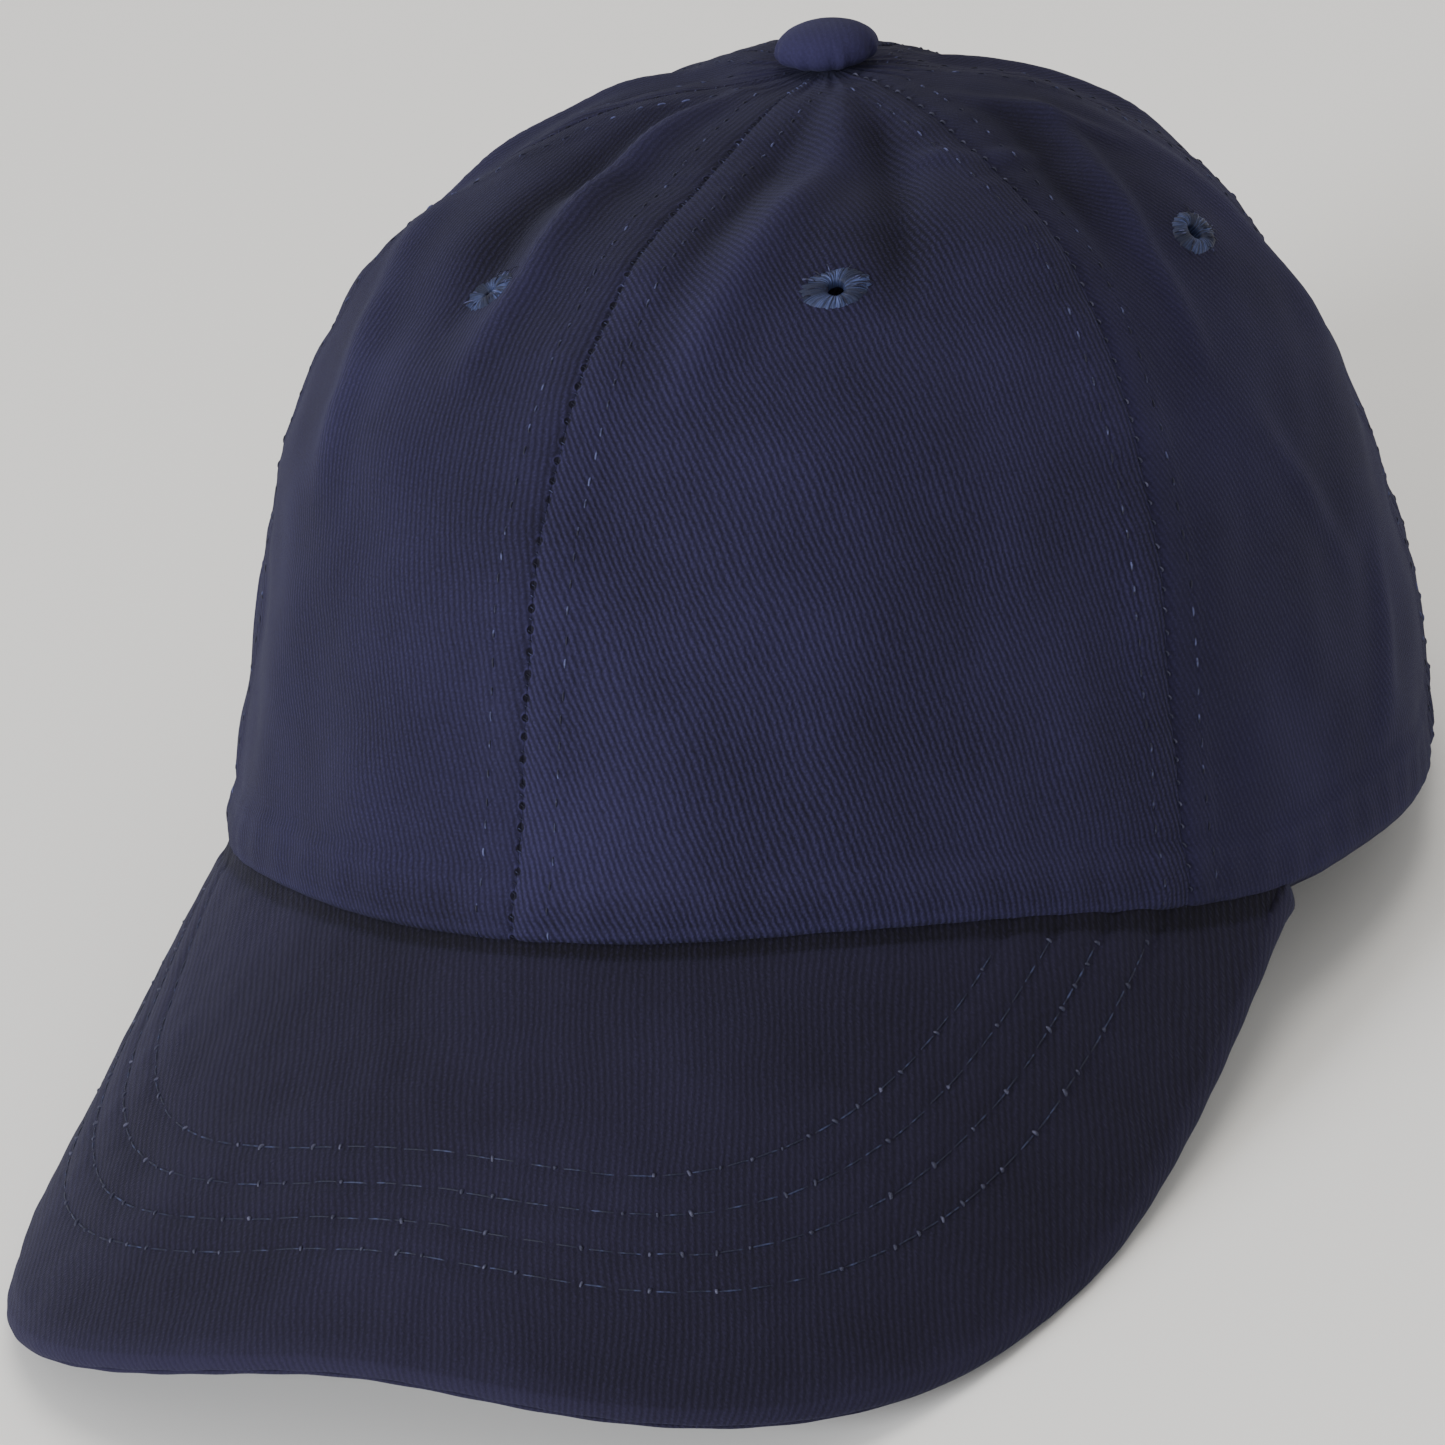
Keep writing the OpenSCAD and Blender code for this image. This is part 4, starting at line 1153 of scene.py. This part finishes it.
def arch_tape():
    """A tape along the inside of the arched edge."""
    edge_x, edge_z = arch_edge[:, 0], arch_edge[:, 2]
    away = unit(np.stack([edge_x, np.maximum(edge_z - ARCH_BASE, 0)], -1))
    outs = np.linspace(0.3, 7.0, 8)
    made = []
    for out in outs:
        x, z = edge_x + away[:, 0] * out, edge_z + away[:, 1] * out
        t = np.degrees(np.arctan2(x, np.sqrt(np.maximum(BACK**2 - x**2 * 1.4, 100))))
        t = np.where(x >= 0, 180 - np.abs(t), -180 + np.abs(t))
        s = np.full(len(x), 0.2)
        for _ in range(25):
            p = crown(t, s)
            ds = (crown(t, s + 0.001) - p) / 0.001
            dt = (crown(t + 0.05, s) - p) / 0.05
            det = dt[:, 0] * ds[:, 2] - dt[:, 2] * ds[:, 0]
            ex, ez = x - p[:, 0], z - p[:, 2]
            t = t + np.clip((ex * ds[:, 2] - ez * ds[:, 0]) / det, -4, 4)
            s = np.clip(s + np.clip((dt[:, 0] * ez - dt[:, 2] * ex) / det, -0.05, 0.05), 0, 0.9)
        made.append(crown(t, s) - crown_normal(t, s) * 1.30)
    uv = both(run_along(arch_edge), outs[:, None])
    faces = grid_faces(*uv.shape[:2])
    cover("arch_binding", np.array(made), faces, tape_cloth, "seam_tape", uv=uv, thick=0.4)


arch_tape()


def band_depth(t):
    """How far the sweatband hangs inside the crown: more at the sides and back."""
    return 3.2 + 3.6 * rise(np.abs(t), 92, 30)


def above_rim(t, heights):
    """A grid of angles and heights above the rim, with the plain crown and its normal there."""
    tt, hh = np.meshgrid(t, heights)
    return tt, hh, crown(tt, share_above(tt, hh)), crown_normal(tt, share_above(tt, hh))


def sweatband():
    heights = np.concatenate([np.linspace(0.5, 28.6, 26), [29.2, 29.8, 30.4, 30.9]])
    tt, hh, base, n = above_rim(np.linspace(-148.5, 148.5, 420), heights)
    wave = 0.12 * ripple(base, 30, 51) + 0.06 * ripple(base, 8, 52)
    wave += 0.22 * bump(hh, 30, 1.1) - 0.22 * bump(hh, 27.6, 0.8) - 0.2 * bump(hh, 3.5, 0.8)
    free = smooth(hh / 10) * 0.4
    p = base - n * (band_depth(tt) + 0.25 + free + wave)[..., None]
    uv = both(run_along(base[10]), hh)
    cover("sweatband", p, grid_faces(*tt.shape), band_cloth, "sweatband_cloth", uv=uv, thick=0.55)
    rows = Stitches()
    for row in (np.argmin(np.abs(heights - 27.6)), np.argmin(np.abs(heights - 3.5))):
        path, seed = p[row] - n[row] * 0.5, 500 + int(row)
        rows.add(path, -n[row], 3.4, 2.4, radius=0.17, lift=0.2, sink=0.15, seed=seed)
    rows.build("sweatband_stitching", seam_thread)


sweatband()


def label():
    """The blank care label on the sweatband, sewn on all four sides."""
    left, right, low, high = 118.4, 135.6, 9.3, 26.7
    tt, hh, base, n = above_rim(np.linspace(left, right, 40), np.linspace(low, high, 30))
    edge = np.minimum(np.minimum(hh - low, high - hh), np.minimum(tt - left, right - tt) * 1.5)
    puff = 0.12 * smooth(edge / 3) + 0.05 * np.sin(tt * 1.7) * smooth(edge / 2)
    p = base - n * (band_depth(tt) + 1.55 + puff)[..., None]
    uv = both(run_along(base[5]), hh)
    cover("care_label", p, grid_faces(*tt.shape), label_cloth, "label_cloth", uv=uv, thick=0.25)
    rows = Stitches()
    upper, out = p - n * 0.25, -n
    for first_seed, path, normals in ((520, upper, out), (530, upper.swapaxes(0, 1), out.swapaxes(0, 1))):
        for k in (1, -2):
            seed = first_seed + k
            rows.add(path[k], normals[k], 2.6, 1.9, radius=0.12, lift=0.12, sink=0.1, seed=seed)
    rows.build("label_stitching", white_thread, "label_cloth")


label()


# ---- Strap and the buckle's tab
def polar(radius, angle, z):
    """A point about the middle of the strap's arc."""
    radius, angle, z = np.broadcast_arrays(radius, np.asarray(angle, float) * DEG, z)
    return np.stack([radius * np.sin(angle), STRAP_CENTRE + radius * np.cos(angle), z], -1)


def outward(angle):
    return polar(1.0, angle, 0.0) - polar(0.0, angle, 0.0)


def strap():
    """A band of folded cloth with a rounded section, which runs on an arc about STRAP_CENTRE."""
    angles = np.linspace(STRAP_FROM, STRAP_TO, 200)
    section, corner = [], 0.5
    half, tall = STRAP_THICK / 2, STRAP_HEIGHT / 2
    for sx, sz, start in ((1, 1, 90), (1, -1, 0), (-1, -1, -90), (-1, 1, -180)):
        for k in range(4):
            a = math.radians(start - 30 * k)
            x, z = corner * math.cos(a), corner * math.sin(a)
            section.append((sx * (half - corner) + x, sz * (tall - corner) + z))
        if sx == sz:
            for f in np.linspace(1, -1, 15)[1:-1]:
                section.append((sx * half, sz * f * (tall - corner)))
    section = np.array(section)
    mean = STRAP_RADIUS - half
    z0 = STRAP_BOTTOM + tall
    dip = bump(np.abs(section[:, 1]), tall - 1.8, 0.5) * 0.12
    radial = section[:, 0] * (1 - dip / half)
    points = polar(mean + radial[None, :], angles[:, None], z0 + section[None, :, 1])
    # the first and last rows close the ends
    ends = [np.broadcast_to(points[k].mean(0), points[:1].shape) for k in (0, -1)]
    points = np.concatenate([ends[0], points, ends[1]])
    run = np.concatenate([[angles[0]], angles, [angles[-1]]]) * DEG * mean
    uv = both(run[:, None], run_along(section))
    wear = 0.12 * bump(np.abs(section[:, 1]), tall, 1.0)
    faces = grid_faces(len(points), len(section), closed=True)
    cover("strap", points, faces, strap_cloth, "strap_twill", body="strap", uv=uv, wear=wear)
    rows = Stitches()
    for z in (1.8, STRAP_HEIGHT - 1.8):
        for out in (1, -1):
            path = polar(mean + out * (half - 0.12), angles[2:-2], STRAP_BOTTOM + z)
            facing = outward(angles[2:-2]) * out
            rows.add(path, facing, 3.2, 2.4, radius=0.14, lift=0.06, sink=0.18, seed=600 + out)
    rows.build("strap_stitching", seam_thread, "strap_twill", body="strap")


strap()


def tab():
    """The cloth loop that holds the buckle: out along the strap, round the buckle's bar and back."""
    per_mm = 180 / math.pi / STRAP_RADIUS
    to = 24 + 8.5 * per_mm
    bar, gap, thick = 1.8 * per_mm, 0.2, 0.7
    inner, outer = STRAP_RADIUS + 0.3, STRAP_RADIUS + 4 + gap + thick
    first, last = to - bar - (gap + thick) * per_mm, to + (gap + thick) * per_mm
    mid_in, mid_out = inner + thick / 2, outer - thick / 2
    radius = (mid_out - mid_in) / 2
    centre_r = (mid_in + mid_out) / 2
    path = [(mid_in, a) for a in np.linspace(52, last - 0.6, 26)]
    path += [(mid_in, a) for a in np.linspace(last - 0.9, first + radius * per_mm * 0.75, 5)]
    half_t = 0.75 * radius * per_mm

    def bend(side, middle, turns):
        ease = 0.35 * per_mm
        return [
            (centre_r + side * radius * math.cos(b), middle + side * (half_t * math.sin(b) - ease))
            for b in turns
        ]

    path += bend(-1, first + half_t, np.linspace(0.2, math.pi - 0.2, 9))
    path += [(mid_out, a) for a in np.linspace(first + half_t + 0.3, last - half_t - 0.2, 4)]
    path += bend(1, last - half_t, np.linspace(0.2, 1.9, 6))
    path += [(mid_in + thick * 1.02, a) for a in np.linspace(last + 1.0, last + 4.6, 5)]
    path = np.array(path)
    z = np.linspace(STRAP_BOTTOM + 3.2, STRAP_BOTTOM + STRAP_HEIGHT - 3.2, 22)
    points = polar(path[:, :1], path[:, 1:], z[None, :])
    uv = both(run_along(points[:, 0])[:, None], z)
    faces = grid_faces(*points.shape[:2])
    obj = cover("buckle_tab", points, faces, strap_cloth, "strap_twill", uv=uv, thick=0.6)
    obj.modifiers["thickness"].offset = 0
    rows = Stitches()
    row_at = np.full(30, last + 3.6)
    turned = polar(inner + thick * 2 - 0.1, row_at, np.linspace(z[0] + 1, z[-1] - 1, 30))
    rows.add(turned, outward(row_at), 2.6, 1.9, radius=0.14, lift=0.14, sink=0.1, seed=700)
    rows.build("tab_stitching", seam_thread, "strap_twill")


tab()


# ---- Rigid pieces keep their CAD shapes
for node, mat in {
    "visor_board": board_plastic, "button_shell": steel, "button_rivet": steel, "button_washer": steel,
    "buckle_frame": brass, "buckle_pin": steel, "buckle_lever": brass,
}.items():
    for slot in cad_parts[node].material_slots:
        slot.material = mat


# ---- Floor, light
def floor():
    n = Nodes("floor")
    colour = n.mix(n.noise(n.place(), 3.0), (0.90, 0.90, 0.89), (0.93, 0.93, 0.92))
    n.surface({"Base Color": colour, "Roughness": 0.8})
    mesh = bpy.data.meshes.new("floor")
    r = 6.0
    mesh.from_pydata([(-r, -r, 0), (r, -r, 0), (r, r, 0), (-r, r, 0)], [], [(0, 1, 2, 3)])
    mesh.materials.append(n.mat)
    new_object("floor", mesh)


floor()
world = bpy.data.worlds.new("studio")
bpy.context.scene.world = world
world.use_nodes = True
sky = world.node_tree.nodes["Background"].inputs
sky["Color"].default_value = (0.93, 0.91, 0.88, 1.0)
sky["Strength"].default_value = 0.62


def lamp(name, position, size, power, colour=(1, 1, 1)):
    data = bpy.data.lights.new(name, "AREA")
    data.shape = "DISK"
    data.size = size
    data.energy = power
    data.color = colour
    aim = unit(np.array([0, 0, 0.06]) - np.array(position))
    side = unit(np.cross(aim, [0, 0, 1.0]))
    top = np.cross(side, aim)
    new_object(name, data).matrix_world = Matrix(
        [[side[i], top[i], -aim[i], position[i]] for i in range(3)] + [[0, 0, 0, 1]]
    )


lamp("key", (-0.95, -2.33, 0.8), 1.0, 86, (0.97, 0.98, 1.0))
lamp("fill", (1.6, -1.6, 0.9), 1.4, 9)
lamp("top", (0.0, 0.3, 2.4), 1.6, 22, (1.0, 0.95, 0.88))
